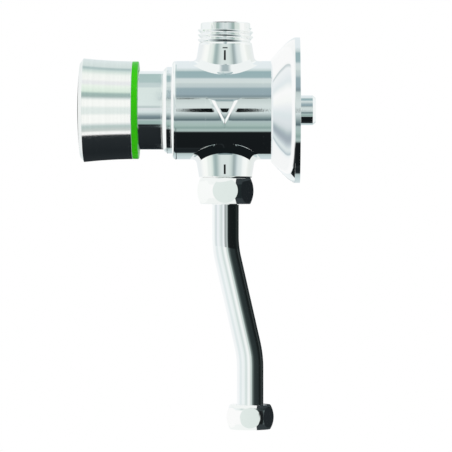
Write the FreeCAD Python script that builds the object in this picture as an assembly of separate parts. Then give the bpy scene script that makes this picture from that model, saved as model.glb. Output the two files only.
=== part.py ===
import FreeCAD, Part
import math
import os

# Self-closing urinal flush valve with a push knob, wall rosette and bent flush tube.
# Millimetres. The origin lies on the valve's level axis, in the plane of the wall.
# +X runs into the wall, -X comes out towards the user, +Z is up.
# "Front" is the knob's side (-X) and "rear" is the wall's side (+X).

# Fits and gaps
loose_fit = 0.10        # radial gap of a part that slides over another
running_fit = 0.05      # radial gap of a shaft in its guide
seal_fit = 0.04         # radial gap left at a rubber ring's moving side
seat_fit = 0.03         # radial gap of parts that are assembled for good
face_gap = 0.05         # gap between two flat faces that turn on each other

# Valve body
body_r = 18.55
body_length = 43.1
body_rear_gap = 5.0     # from the wall to the body's rear face
body_edge_round = 1.3
quarter_mid = 1 - math.sqrt(0.5)    # middle of a quarter round, as a share of its radius
body_rear_chamfer = 0.6
neck_setback = 20.0     # from the body's front face to the upright axis
neck_foot_round = 1.2

# Inlet neck, G 1/2 outside thread
inlet_height = 33.3
inlet_collar_length = 2.3
inlet_thread_length = 5.8
inlet_thread_r = 10.478
inlet_thread_depth = 1.0
inlet_thread_pitch = 1.814
thread_relief = 0.9
thread_crest_share = 0.16   # of the pitch, left flat at the crest
thread_root_share = 0.14    # of the pitch, flat at the root
thread_overcut = 0.12       # how far the thread's cutter stands out past the crest
thread_lead_length = 0.6    # height of the cones at the thread's two ends
inlet_collar_step = 0.13    # collar below the thread's root
thread_relief_step = 0.05   # relief below the collar
inlet_neck_top_r = 10.575
inlet_neck_foot_r = 11.3
inlet_edge_chamfer = 0.5
inlet_bore_r = 7.0
inlet_bore_depth = 4.3

# Outlet neck, G 3/8 outside thread under the union nut
outlet_reach = 31.0
outlet_thread_length = 5.8
outlet_thread_r = 8.33
outlet_thread_chamfer = 0.5
outlet_neck_end_r = 10.55
outlet_neck_foot_r = 10.95
outlet_bore_r = 4.2
outlet_bore_depth = 11.5

# Flow arrow cast on the body's side, pointing down
arrow_width = 9.4
arrow_height = 8.7
arrow_top = 3.7
arrow_relief = 0.4
arrow_root = 3.7        # the arrow's prism starts this deep under the body's surface

# Cavity and water ways in the body
cavity_thread_r = 13.5
cavity_thread_length = 10.1
cartridge_bore_r = 12.5
annulus_length = 8.5
land_length = 3.5
chamber_r = 10.6
chamber_length = 14.0
inlet_way_r = 3.6
outlet_way_r = 3.8
way_shift_in = 5.4      # forward from the upright axis to the inlet way's inner end
way_shift_out = 7.4     # rearward to the outlet way's inner end
way_overrun = 1.0

# Strainer in the inlet
strainer_flange_r = 6.75
strainer_flange_t = 0.8
strainer_pocket_r = 6.0
strainer_pocket_depth = 8.7
strainer_cup_r = 5.5
strainer_cup_length = 7.0
strainer_wall = 0.4
strainer_slot_width = 0.9
strainer_slot_length = 5.0
strainer_slots = 12
strainer_hole_r = 0.6
strainer_hole_ring_r = 2.8
strainer_floor_holes = 8

# Wall fixing stud behind the body
spigot_r = 5.6
spigot_reach = 5.9
spigot_chamfer = 1.1    # length along the axis
spigot_chamfer_rise = 0.88
spigot_root = 1.6       # the round end starts this far in front of the wall
spigot_collar_r = 7.5
spigot_collar_flats = 13.0
spigot_stud_r = 4.0
spigot_stud_length = 5.4
fixing_hole_r = 2.5
fixing_hole_depth = 9.9

# Wall rosette
rosette_flare = 8.25    # from the lip's radius to the rim's
rosette_depth = 10.9
rosette_rim_width = 2.0
rosette_wall = 1.0
rosette_lip_width = 0.55
rosette_lip_rise = 0.5
rosette_bulge = 0.75    # how far the flare bows out from a straight cone
rosette_inner_setback = 1.05    # along the axis, from the flare's outside to its inside at the hub
rosette_hub_length = 5.5
rosette_hub_wall = 1.95
rosette_seal_section_r = 0.65
rosette_seal_setback = 2.6
groove_side_gap = 0.15

# Head with its sleeve, screwed into the body
step_r = 16.35
step_length = 2.0
collar_length = 1.4
sleeve_r = 14.8
sleeve_bore_r = 12.6
sleeve_exposed = 9.3
sleeve_hidden = 11.2    # length of sleeve inside the knob
sleeve_edge = 0.5
bulkhead_length = 7.8
bulkhead_setback = 1.8  # bulkhead's rear face behind the head's seat, towards the front
head_seal_section_r = 0.74
head_seal_gap = 0.03
cylinder_clearance = 0.2
gland_r = 6.6
gland_floor = 1.5
stem_seal_section_r = 1.2
bush_length = 2.5
circlip_t = 0.6
circlip_groove_depth = 0.5
circlip_band = 1.85
circlip_opening = 50.0  # degrees

# Cartridge
cylinder_r = 9.5
cylinder_wall = 1.1
cylinder_front_gap = 0.1
flange_t = 1.5
flange_fit = 0.2
land_fit = 0.1
land_seal_section_r = 0.7
port_r = 1.7
ports = 6
seat_bore_r = 5.8
seat_outer_r = 7.55
seat_lip_rise = 0.5
seat_lip_width = 1.0
seat_web_t = 1.0
seat_web_bore_r = 6.0
seat_pocket_depth = 2.9

# Stem and what it carries
stem_r = 4.0
tail_r = 2.5
piston_length = 4.0
piston_setback = 6.0    # from the bulkhead's rear face to the piston
piston_fit = 0.10
lip_seal_length = 1.4
lip_seal_depth = 1.85
lip_seal_front = 1.1
washer_r = 7.3
washer_t = 2.0
holder_base_t = 1.8
holder_rim_t = 0.6
holder_rim_length = 1.2
lock_nut_flats = 8.0
lock_nut_t = 2.4
tail_overrun = 0.6
stem_edge = 0.4

# Return spring and its cap
spring_r = 9.2
spring_wire_r = 0.6
spring_turns = 5.0
cap_r = 11.4
cap_t = 1.4
cap_spigot_length = 1.5
cap_spigot_wall = 2.4
cap_gap = 2.2           # from the sleeve's front end to the cap

# Knob
knob_rear_r = 18.43
knob_waist_r = 18.73
knob_front_r = 19.55
knob_length = 20.45     # from the colour ring to the crown of the front face
knob_crown = 1.0        # rise of the front face
knob_rim_round = 1.3
knob_rim_inset = 1.65
knob_rim_middle_x = 0.39        # middle of the rim's round, behind the face's edge
knob_rim_middle_r = 0.54        # and inside the rim's largest radius
knob_waist_share = 0.55         # the waist's place, from the rim towards the colour ring
knob_crown_middle = 0.25        # rise still to come halfway out on the front face
knob_rear_edge = 0.25
knob_front_wall = 1.8
knob_bore_r = 17.2
hub_plate_t = 2.0
hub_fit = 0.1
hub_boss_r = 7.6
hub_liner_wall = 1.4
hub_liner_length = 13.4
clip_recess_r = 6.4
clip_t = 0.6
clip_inner_r = 3.3
clip_outer_r = 5.8
clip_opening = 100.0    # degrees
stem_end_gap = 0.35

# Colour ring behind the knob
ring_width = 2.5
ring_r = 18.4
ring_bore_gap = 0.35
ring_edge = 0.2
ring_lip_length = 3.0
ring_lip_wall = 1.35

# Flush tube
tube_r = 5.0
tube_wall = 0.8
tube_offset = 9.3       # lower end lies this much nearer the wall
tube_bend_r = 40.0
knee_upper_drop = 20.9  # from the outlet's end to the first knee
knee_spacing = 40.9     # height between the two knees
tube_lower_run = 21.8   # from the second knee to the tube's end
gasket_t = 1.0
tube_flange_t = 1.0
slip_ring_t = 1.0
union_inner_fit = 0.08
flange_radial_gap = 0.43

# Union nuts: a hexagon turned to a ball, cut flat at both ends
upper_nut_flats = 19.0
upper_nut_ball_r = 10.6
upper_nut_height = 10.0
upper_nut_top_gap = 0.2
upper_nut_hole_fit = 0.2
lower_nut_flats = 16.0
lower_nut_ball_r = 8.9
lower_nut_height = 9.2
lower_nut_shoulder = 1.7
lower_thread_r = 5.72
lower_relief_step = 0.25
lower_flange_fit = 0.12
lower_slip_t = 0.8
lower_slip_fit = 0.05
lower_gasket_t = 1.0
mouth_chamfer = 0.4

# Stations along the valve axis
body_rear = -body_rear_gap
body_front = body_rear - body_length
neck_x = body_front + neck_setback
step_front = body_front - step_length
collar_front = step_front - collar_length
ring_rear = collar_front - sleeve_exposed
ring_front = ring_rear - ring_width
knob_front = ring_front - knob_length
sleeve_front = ring_rear - sleeve_hidden
bulkhead_rear = body_front - bulkhead_setback
bulkhead_front = bulkhead_rear - bulkhead_length
skirt_rear = body_front + cavity_thread_length - flange_t
shoulder_x = body_front + cavity_thread_length
land_front = shoulder_x + annulus_length
land_rear = land_front + land_length
chamber_rear = land_rear + chamber_length
seat_face = land_rear + seat_lip_rise - loose_fit
piston_front = bulkhead_rear + piston_setback
piston_rear = piston_front + piston_length
washer_rear = seat_face + washer_t
holder_rear = washer_rear + holder_base_t
lock_nut_rear = holder_rear + lock_nut_t
tail_end = lock_nut_rear + tail_overrun
cap_rear = sleeve_front - cap_gap
cap_front = cap_rear - cap_t
hub_front = knob_front + knob_front_wall + hub_fit
hub_plate_rear = hub_front + hub_plate_t
stem_front = hub_front + stem_end_gap - hub_fit
clip_front = stem_front + clip_t
clip_rear = clip_front + clip_t

# Heights along the upright axis
inlet_neck_top = inlet_height - inlet_collar_length - inlet_thread_length
outlet_neck_end = -(outlet_reach - outlet_thread_length)
gasket_bottom = -outlet_reach - gasket_t
tube_flange_bottom = gasket_bottom - tube_flange_t
slip_ring_bottom = tube_flange_bottom - slip_ring_t
upper_nut_top = outlet_neck_end - upper_nut_top_gap
upper_nut_bottom = upper_nut_top - upper_nut_height
upper_knee = -outlet_reach - knee_upper_drop
lower_knee = upper_knee - knee_spacing
tube_end = lower_knee - tube_lower_run
tube_low_x = neck_x + tube_offset
lower_flange_top = tube_end + tube_flange_t
lower_nut_seat = lower_flange_top + lower_slip_t
lower_nut_top = lower_nut_seat + lower_nut_shoulder
lower_nut_bottom = lower_nut_top - lower_nut_height
lower_gasket_bottom = tube_end - lower_gasket_t

# Radii that follow from the ones above
inlet_root_r = inlet_thread_r - inlet_thread_depth
inlet_collar_r = inlet_root_r - inlet_collar_step
inlet_relief_r = inlet_collar_r - thread_relief_step
skirt_r = cavity_thread_r - running_fit
cylinder_outer_r = cylinder_r + cylinder_wall
land_r = cartridge_bore_r - land_fit
hub_r = knob_bore_r - hub_fit
rosette_bore_r = body_r + loose_fit
rosette_lip_r = rosette_bore_r + rosette_lip_width
rosette_r = rosette_lip_r + rosette_flare
union_flange_r = outlet_thread_r - flange_radial_gap
tube_bore_r = tube_r - tube_wall
slip_bore_r = tube_r + loose_fit
lower_flange_r = lower_thread_r - lower_flange_fit

X_AXIS = FreeCAD.Vector(1, 0, 0)
Z_AXIS = FreeCAD.Vector(0, 0, 1)


def at_x(x):
    """A point on the valve's level axis."""
    return FreeCAD.Vector(x, 0, 0)


def outline(points, place):
    """A closed wire. A point is (along, radius); one written as (middle, end) is reached by an arc."""
    edges = []
    last = place(*points[0])
    for step in list(points[1:]) + [points[0]]:
        if isinstance(step[0], tuple):
            middle, end = step
            edges.append(Part.Arc(last, place(*middle), place(*end)).toShape())
        else:
            end = step
            if place(*end).distanceToPoint(last) < 1e-6:
                continue
            edges.append(Part.LineSegment(last, place(*end)).toShape())
        last = place(*end)
    return Part.Wire(edges)


def turned_x(points):
    """A solid turned about the level axis from (x, radius) points."""
    wire = outline(points, lambda x, r: FreeCAD.Vector(x, 0, r))
    return Part.Face(wire).revolve(at_x(0), X_AXIS, 360)


def turned_z(points, axis_x):
    """A solid turned about an upright axis from (height, radius) points."""
    wire = outline(points, lambda z, r: FreeCAD.Vector(axis_x + r, 0, z))
    return Part.Face(wire).revolve(at_x(axis_x), Z_AXIS, 360)


def rod_x(x_from, x_to, radius):
    return Part.makeCylinder(radius, x_to - x_from, at_x(x_from), X_AXIS)


def rod_z(z_from, z_to, radius, axis_x):
    return Part.makeCylinder(radius, z_to - z_from, FreeCAD.Vector(axis_x, 0, z_from), Z_AXIS)


def washer_x(x_from, x_to, outer, inner):
    return turned_x([(x_from, inner), (x_from, outer), (x_to, outer), (x_to, inner)])


def washer_z(z_from, z_to, outer, inner, axis_x):
    return turned_z([(z_from, inner), (z_from, outer), (z_to, outer), (z_to, inner)], axis_x)


def seal_ring(x, middle_r, section_r):
    """A rubber ring of round section about the level axis."""
    return Part.makeTorus(middle_r, section_r, at_x(x), X_AXIS)


def rod_between(start, end, radius):
    return Part.makeCylinder(radius, (end - start).Length, start, end - start)


def hexagon(centre, across_flats, height, direction):
    """A six-sided prism. About the upright axis two of its flats face the sides, +Y and -Y."""
    corner_r = across_flats / math.sqrt(3)
    corners = []
    for k in range(7):
        angle = math.radians(60 * k)
        along = corner_r * math.cos(angle)
        across = corner_r * math.sin(angle)
        if direction == X_AXIS:
            corners.append(centre + FreeCAD.Vector(0, along, across))
        else:
            corners.append(centre + FreeCAD.Vector(along, across, 0))
    return Part.Face(Part.makePolygon(corners)).extrude(direction * height)


def open_ring(ring, x_from, x_to, reach, opening_degrees):
    """A turned ring with a wedge cut out at its top, as a spring clip has."""
    half = math.radians(opening_degrees / 2)
    start = FreeCAD.Vector(x_from, 0, 0)
    left = FreeCAD.Vector(x_from, -reach * math.tan(half), reach)
    right = FreeCAD.Vector(x_from, reach * math.tan(half), reach)
    wedge = Part.Face(Part.makePolygon([start, left, right, start]))
    return ring.cut(wedge.extrude(X_AXIS * (x_to - x_from)))


# Valve body

def foot_edges(solid):
    """The edges where the two necks grow out of the round body."""
    found = []
    for edge in solid.Edges:
        middle = edge.valueAt((edge.FirstParameter + edge.LastParameter) / 2)
        on_body = abs(math.hypot(middle.y, middle.z) - body_r) < 0.02
        from_neck = math.hypot(middle.x - neck_x, middle.y)
        widest = max(inlet_neck_foot_r, outlet_neck_foot_r) + 1.0
        narrowest = min(inlet_neck_top_r, outlet_neck_end_r) - 1.0
        if on_body and narrowest < from_neck < widest:
            found.append(edge)
    return found


def body_casting():
    barrel = turned_x([
        (body_front, 0),
        (body_front, body_r - body_edge_round),
        ((body_front + quarter_mid * body_edge_round, body_r - quarter_mid * body_edge_round),
         (body_front + body_edge_round, body_r)),
        (body_rear - body_rear_chamfer, body_r),
        (body_rear, body_r - body_rear_chamfer),
        (body_rear, 0),
    ])
    # Each neck's cone is carried on inwards, so that it meets the barrel everywhere
    foot_z = body_r
    inlet_taper = (inlet_neck_foot_r - inlet_neck_top_r) / (inlet_neck_top - foot_z)
    outlet_taper = (outlet_neck_foot_r - outlet_neck_end_r) / (-outlet_neck_end - foot_z)
    sunk = body_r / 2
    inlet = turned_z([
        (sunk, 0),
        (sunk, inlet_neck_foot_r + inlet_taper * (foot_z - sunk)),
        (inlet_neck_top, inlet_neck_top_r),
        (inlet_neck_top, 0),
    ], neck_x)
    outlet = turned_z([
        (-sunk, 0),
        (-sunk, outlet_neck_foot_r + outlet_taper * (foot_z - sunk)),
        (outlet_neck_end, outlet_neck_end_r),
        (outlet_neck_end, 0),
    ], neck_x)
    casting = barrel.fuse([inlet, outlet]).removeSplitter()
    return casting.makeFillet(neck_foot_round, foot_edges(casting))


def threaded_inlet():
    """The inlet's end: relief, thread crests and the plain lead collar."""
    relief_top = inlet_neck_top + thread_relief
    thread_top = inlet_neck_top + inlet_thread_length
    blank = turned_z([
        (inlet_neck_top, 0),
        (inlet_neck_top, inlet_relief_r),
        (relief_top, inlet_relief_r),
        (relief_top + thread_lead_length, inlet_thread_r),
        (thread_top - thread_lead_length, inlet_thread_r),
        (thread_top, inlet_collar_r),
        (inlet_height - inlet_edge_chamfer, inlet_collar_r),
        (inlet_height, inlet_collar_r - inlet_edge_chamfer),
        (inlet_height, 0),
    ], neck_x)
    pitch = inlet_thread_pitch
    turn_start = relief_top - pitch
    turn_length = thread_top + pitch - turn_start
    helix = Part.makeLongHelix(pitch, turn_length, inlet_root_r)
    half_root = pitch * thread_root_share / 2
    half_crest = pitch * (1 - thread_crest_share) / 2
    half_mouth = half_crest + thread_overcut * (half_crest - half_root) / inlet_thread_depth
    mouth_r = inlet_thread_r + thread_overcut
    groove = Part.makePolygon([
        FreeCAD.Vector(inlet_root_r, 0, -half_root),
        FreeCAD.Vector(mouth_r, 0, -half_mouth),
        FreeCAD.Vector(mouth_r, 0, half_mouth),
        FreeCAD.Vector(inlet_root_r, 0, half_root),
        FreeCAD.Vector(inlet_root_r, 0, -half_root),
    ])
    cutter = Part.Wire(helix).makePipeShell([groove], True, True)
    cutter.translate(FreeCAD.Vector(neck_x, 0, turn_start))
    return blank.cut(cutter)


def flow_arrow():
    """A raised triangle on the side that faces -Y, its point down, cut to the body's curve."""
    half = arrow_width / 2
    depth = body_r - arrow_root
    corners = [(-half, arrow_top), (half, arrow_top), (0, arrow_top - arrow_height), (-half, arrow_top)]
    wire = Part.makePolygon([FreeCAD.Vector(neck_x + x, -depth, z) for x, z in corners])
    prism = Part.Face(wire).extrude(FreeCAD.Vector(0, -body_r, 0))
    return prism.common(rod_x(body_front, body_rear, body_r + arrow_relief))


def body_hollows():
    """Everything that is bored out of the casting, as one list of tools."""
    counterbore_r = cavity_thread_r + 2 * head_seal_section_r + head_seal_gap
    counterbore_depth = 2 * head_seal_section_r + 4 * head_seal_gap
    mouth = inlet_height - inlet_bore_depth
    flange_seat = mouth - strainer_flange_t
    pocket_floor = flange_seat - strainer_pocket_depth
    outlet_floor = -outlet_reach + outlet_bore_depth
    stud_hole = body_rear - spigot_stud_length - loose_fit
    inner_r = (cartridge_bore_r + cylinder_outer_r) / 2
    inlet_way_end = FreeCAD.Vector(neck_x - way_shift_in, 0, inner_r)
    outlet_way_end = FreeCAD.Vector(neck_x + way_shift_out, 0, -chamber_r + way_overrun)
    overrun = 1.0
    return [
        rod_x(body_front - overrun, body_front + counterbore_depth, counterbore_r),
        rod_x(body_front - overrun, shoulder_x, cavity_thread_r),
        rod_x(shoulder_x - overrun, land_rear, cartridge_bore_r),
        rod_x(land_rear - overrun, chamber_rear, chamber_r),
        rod_x(stud_hole, body_rear + overrun, spigot_stud_r + running_fit),
        rod_z(mouth, inlet_height + overrun, inlet_bore_r, neck_x),
        rod_z(flange_seat, mouth + overrun, strainer_flange_r, neck_x),
        rod_z(pocket_floor, flange_seat + overrun, strainer_pocket_r, neck_x),
        rod_z(-outlet_reach - overrun, outlet_floor, outlet_bore_r, neck_x),
        rod_between(FreeCAD.Vector(neck_x, 0, pocket_floor + overrun), inlet_way_end, inlet_way_r),
        rod_between(FreeCAD.Vector(neck_x, 0, outlet_floor - overrun), outlet_way_end, outlet_way_r),
    ]


def valve_body():
    outlet_thread = turned_z([
        (outlet_neck_end, 0),
        (outlet_neck_end, outlet_thread_r),
        (-outlet_reach + outlet_thread_chamfer, outlet_thread_r),
        (-outlet_reach, outlet_thread_r - outlet_thread_chamfer),
        (-outlet_reach, 0),
    ], neck_x)
    solid = body_casting().fuse([threaded_inlet(), outlet_thread, flow_arrow()])
    return solid.cut(body_hollows())


# Wall fixing

def wall_spigot():
    solid = turned_x([
        (body_rear - spigot_stud_length, 0),
        (body_rear - spigot_stud_length, spigot_stud_r - stem_edge),
        (body_rear - spigot_stud_length + stem_edge, spigot_stud_r),
        (body_rear, spigot_stud_r),
        (body_rear, spigot_collar_r),
        (-spigot_root, spigot_collar_r),
        (-spigot_root, spigot_r),
        (spigot_reach - spigot_chamfer, spigot_r),
        (spigot_reach, spigot_r - spigot_chamfer_rise),
        (spigot_reach, 0),
    ])
    reach = spigot_collar_r * 2
    for side in (-1, 1):
        low = side * spigot_collar_flats / 2
        corner = FreeCAD.Vector(body_rear, min(low, low + side * reach), -reach)
        flat = Part.makeBox(-spigot_root - body_rear, reach, 2 * reach, corner)
        solid = solid.cut(flat)
    hole = rod_x(spigot_reach - fixing_hole_depth, spigot_reach + 1, fixing_hole_r)
    return solid.cut(hole)


def rosette_groove():
    """Front and rear station, depth radius and centre of the rosette's seal groove."""
    middle = -rosette_depth + rosette_seal_setback
    half = rosette_seal_section_r + groove_side_gap
    ring_r = body_r + 2 * seal_fit + rosette_seal_section_r
    depth_r = ring_r + rosette_seal_section_r + seat_fit
    return middle, middle - half, middle + half, ring_r, depth_r


def wall_rosette():
    front = -rosette_depth
    lip_end = (front + rosette_lip_rise, rosette_lip_r + rosette_lip_rise)
    rim_start = (-rosette_rim_width, rosette_r)
    middle = ((lip_end[0] + rim_start[0]) / 2, (lip_end[1] + rim_start[1]) / 2)
    chord = math.hypot(rim_start[0] - lip_end[0], rim_start[1] - lip_end[1])
    out_x = -(rim_start[1] - lip_end[1]) / chord
    out_r = (rim_start[0] - lip_end[0]) / chord
    bowed = (middle[0] + out_x * rosette_bulge, middle[1] + out_r * rosette_bulge)
    hub_outer = rosette_bore_r + rosette_hub_wall
    slope = (rim_start[1] - lip_end[1]) / (rim_start[0] - lip_end[0])
    inner_start = (-rosette_rim_width, rosette_r - rosette_wall)
    inner_mid = (bowed[0] - out_x * rosette_wall, bowed[1] - out_r * rosette_wall)
    inner_x = lip_end[0] + (hub_outer - lip_end[1]) / slope + rosette_inner_setback
    hub_rear = front + rosette_hub_length
    seal_x, groove_front, groove_rear, ring_middle_r, groove_r = rosette_groove()
    return turned_x([
        (front, rosette_bore_r),
        (front, rosette_lip_r),
        lip_end,
        (bowed, rim_start),
        (0, rosette_r),
        (0, rosette_r - rosette_wall),
        inner_start,
        (inner_mid, (inner_x, hub_outer)),
        (hub_rear, hub_outer),
        (hub_rear, rosette_bore_r),
        (groove_rear, rosette_bore_r),
        (groove_rear, groove_r),
        (groove_front, groove_r),
        (groove_front, rosette_bore_r),
    ])


def rosette_o_ring():
    seal_x, groove_front, groove_rear, ring_middle_r, groove_r = rosette_groove()
    return seal_ring(seal_x, ring_middle_r, rosette_seal_section_r)


# Head and its seals

def gland_stations():
    """Front faces of the stem seal, the bush and the circlip, from the rear forwards."""
    seal_rear = bulkhead_rear - gland_floor
    seal_front = seal_rear - 2 * stem_seal_section_r - face_gap
    bush_front = seal_front - bush_length
    clip_front_face = bush_front - circlip_t - face_gap
    return seal_rear, seal_front, bush_front, clip_front_face


def head_sleeve():
    seal_rear, seal_front, bush_front, circlip_front = gland_stations()
    groove_r = gland_r + circlip_groove_depth
    skirt_bore_r = cylinder_outer_r + cylinder_clearance
    return turned_x([
        (sleeve_front, sleeve_bore_r),
        (sleeve_front, sleeve_r - sleeve_edge),
        (sleeve_front + sleeve_edge, sleeve_r),
        (collar_front, sleeve_r),
        (step_front, step_r),
        (body_front, step_r),
        (body_front, skirt_r),
        (skirt_rear, skirt_r),
        (skirt_rear, skirt_bore_r),
        (bulkhead_rear, skirt_bore_r),
        (bulkhead_rear, stem_r + 2 * loose_fit),
        (seal_rear, stem_r + 2 * loose_fit),
        (seal_rear, gland_r),
        (bush_front, gland_r),
        (bush_front, groove_r),
        (circlip_front - face_gap, groove_r),
        (circlip_front - face_gap, gland_r),
        (bulkhead_front, gland_r),
        (bulkhead_front, sleeve_bore_r),
    ])


def head_o_ring():
    middle_r = cavity_thread_r + head_seal_section_r
    return seal_ring(body_front + head_seal_section_r + 2 * head_seal_gap, middle_r, head_seal_section_r)


def stem_o_ring():
    seal_rear, seal_front, bush_front, circlip_front = gland_stations()
    middle = (seal_rear + seal_front) / 2
    return seal_ring(middle, stem_r + running_fit + stem_seal_section_r, stem_seal_section_r)


def stem_bush():
    seal_rear, seal_front, bush_front, circlip_front = gland_stations()
    return washer_x(bush_front, seal_front, gland_r - seat_fit, stem_r + running_fit)


def bush_circlip():
    seal_rear, seal_front, bush_front, circlip_front = gland_stations()
    outer = gland_r + circlip_groove_depth - seat_fit
    ring = washer_x(circlip_front, circlip_front + circlip_t, outer, outer - circlip_band)
    return open_ring(ring, circlip_front, circlip_front + circlip_t, 2 * outer, circlip_opening)


# Cartridge

def land_groove():
    middle = (land_front + land_rear) / 2
    half = land_seal_section_r + groove_side_gap
    bottom_r = cartridge_bore_r - 2 * land_seal_section_r - seat_fit
    return middle, middle - half, middle + half, bottom_r


def cartridge_housing():
    front = bulkhead_rear + cylinder_front_gap
    rear = land_rear - loose_fit
    flange_r = cavity_thread_r - flange_fit
    flange_front = shoulder_x - flange_t
    seal_x, groove_front, groove_rear, groove_r = land_groove()
    pocket_front = rear - seat_pocket_depth
    pocket_r = seat_outer_r + running_fit
    housing = turned_x([
        (front, cylinder_r),
        (front, cylinder_outer_r),
        (flange_front, cylinder_outer_r),
        (flange_front, flange_r),
        (shoulder_x, flange_r),
        (shoulder_x, cylinder_outer_r),
        (land_front, cylinder_outer_r),
        (land_front, land_r),
        (groove_front, land_r),
        (groove_front, groove_r),
        (groove_rear, groove_r),
        (groove_rear, land_r),
        (rear, land_r),
        (rear, pocket_r),
        (pocket_front, pocket_r),
        (pocket_front, seat_web_bore_r),
        (pocket_front - seat_web_t, seat_web_bore_r),
        (pocket_front - seat_web_t, cylinder_r),
    ])
    port_x = shoulder_x + annulus_length / 2
    for k in range(ports):
        angle = math.radians(360 * (k + 0.5) / ports)
        outward = FreeCAD.Vector(0, math.cos(angle), math.sin(angle))
        hole = Part.makeCylinder(port_r, cartridge_bore_r, at_x(port_x), outward)
        housing = housing.cut(hole)
    return housing


def housing_o_ring():
    seal_x, groove_front, groove_rear, groove_r = land_groove()
    middle_r = groove_r + land_seal_section_r + seat_fit / 2
    return seal_ring(seal_x, middle_r, land_seal_section_r)


def seat_ring():
    base = land_rear - loose_fit
    return turned_x([
        (base - seat_pocket_depth, seat_bore_r),
        (base - seat_pocket_depth, seat_outer_r),
        (base, seat_outer_r),
        (seat_face, seat_bore_r + seat_lip_width),
        (seat_face, seat_bore_r),
    ])


# Plunger

def valve_stem():
    return turned_x([
        (stem_front, 0),
        (stem_front, stem_r - stem_edge),
        (stem_front + stem_edge, stem_r),
        (clip_front, stem_r),
        (clip_front, clip_inner_r),
        (clip_rear, clip_inner_r),
        (clip_rear, stem_r),
        (piston_front, stem_r),
        (piston_front, tail_r),
        (tail_end - stem_edge, tail_r),
        (tail_end, tail_r - stem_edge),
        (tail_end, 0),
    ])


def piston():
    outer = cylinder_r - piston_fit
    groove_front = piston_front + lip_seal_front - face_gap
    groove_rear = piston_front + lip_seal_front + lip_seal_length + face_gap
    groove_r = cylinder_r - lip_seal_depth - seat_fit
    return turned_x([
        (piston_front, tail_r + seat_fit),
        (piston_front, outer),
        (groove_front, outer),
        (groove_front, groove_r),
        (groove_rear, groove_r),
        (groove_rear, outer),
        (piston_rear, outer),
        (piston_rear, tail_r + seat_fit),
    ])


def lip_seal():
    """A cupped ring whose open side faces the water, to the rear."""
    front = piston_front + lip_seal_front
    rear = front + lip_seal_length
    inner = cylinder_r - lip_seal_depth
    outer = cylinder_r - seal_fit
    valley = (inner + outer) / 2
    lip = (outer - inner) / 4
    return turned_x([
        (front, inner),
        (front, outer - lip / 2),
        (rear, outer),
        (rear, outer - lip),
        (front + lip_seal_length / 2, valley),
        (rear, inner + lip),
        (rear, inner),
    ])


def stem_spacer():
    return washer_x(piston_rear, seat_face, stem_r, tail_r + seat_fit)


def seat_washer():
    return washer_x(seat_face, washer_rear, washer_r, tail_r + seat_fit)


def disc_holder():
    rim_inner = washer_r + running_fit
    rim_outer = rim_inner + holder_rim_t
    return turned_x([
        (washer_rear, tail_r + seat_fit),
        (washer_rear, rim_inner),
        (washer_rear - holder_rim_length, rim_inner),
        (washer_rear - holder_rim_length, rim_outer),
        (holder_rear - stem_edge, rim_outer),
        (holder_rear, rim_outer - stem_edge),
        (holder_rear, tail_r + seat_fit),
    ])


def lock_nut():
    nut = hexagon(at_x(holder_rear), lock_nut_flats, lock_nut_t, X_AXIS)
    return nut.cut(rod_x(holder_rear - 1, lock_nut_rear + 1, tail_r + seat_fit))


def spring_cap():
    spigot_r_outer = spring_r - spring_wire_r - 2 * loose_fit
    return turned_x([
        (cap_front, stem_r + running_fit),
        (cap_front, cap_r),
        (cap_rear, cap_r),
        (cap_rear, spigot_r_outer),
        (cap_rear + cap_spigot_length, spigot_r_outer),
        (cap_rear + cap_spigot_length, spigot_r_outer - cap_spigot_wall),
        (cap_rear, spigot_r_outer - cap_spigot_wall),
        (cap_rear, stem_r + running_fit),
    ])


def return_spring():
    """One unbroken wire wound about the stem, from the bulkhead to the cap."""
    length = bulkhead_front - cap_rear - 2 * spring_wire_r
    pitch = length / spring_turns
    print("spring: least gap between turns", round(pitch - 2 * spring_wire_r, 2), "mm")
    helix = Part.makeHelix(pitch, length, spring_r)
    section = Part.Wire(Part.Circle(
        FreeCAD.Vector(spring_r, 0, 0), FreeCAD.Vector(0, 1, 0), spring_wire_r).toShape())
    coil = Part.Wire(helix).makePipeShell([section], True, True)
    coil.rotate(at_x(0), FreeCAD.Vector(0, 1, 0), 90)
    coil.translate(at_x(cap_rear + spring_wire_r))
    return coil


# Knob

def knob_clip():
    ring = washer_x(clip_front, clip_rear, clip_outer_r, clip_inner_r + running_fit)
    return open_ring(ring, clip_front, clip_rear, 2 * clip_outer_r, clip_opening)


def knob_shell():
    rim_x = knob_front + knob_crown
    corner = (rim_x + knob_rim_round, knob_front_r)
    face_edge = (rim_x, knob_front_r - knob_rim_inset)
    rim_middle = (rim_x + knob_rim_middle_x, knob_front_r - knob_rim_middle_r)
    flank_middle = (corner[0] + knob_waist_share * (ring_front - corner[0]), knob_waist_r)
    inner_face = knob_front + knob_front_wall
    return turned_x([
        (knob_front, 0),
        ((knob_front + knob_crown_middle, face_edge[1] / 2), face_edge),
        (rim_middle, corner),
        (flank_middle, (ring_front - knob_rear_edge, knob_rear_r)),
        (ring_front, knob_rear_r - knob_rear_edge),
        (ring_front, knob_bore_r),
        (inner_face, knob_bore_r),
        (inner_face, 0),
    ])


def knob_hub():
    boss_rear = cap_front - face_gap
    liner_rear = hub_plate_rear + hub_liner_length
    return turned_x([
        (clip_rear + face_gap, stem_r + running_fit),
        (clip_rear + face_gap, clip_recess_r),
        (hub_front, clip_recess_r),
        (hub_front, hub_r),
        (liner_rear, hub_r),
        (liner_rear, hub_r - hub_liner_wall),
        (hub_plate_rear, hub_r - hub_liner_wall),
        (hub_plate_rear, hub_boss_r),
        (boss_rear, hub_boss_r),
        (boss_rear, stem_r + running_fit),
    ])


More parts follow.
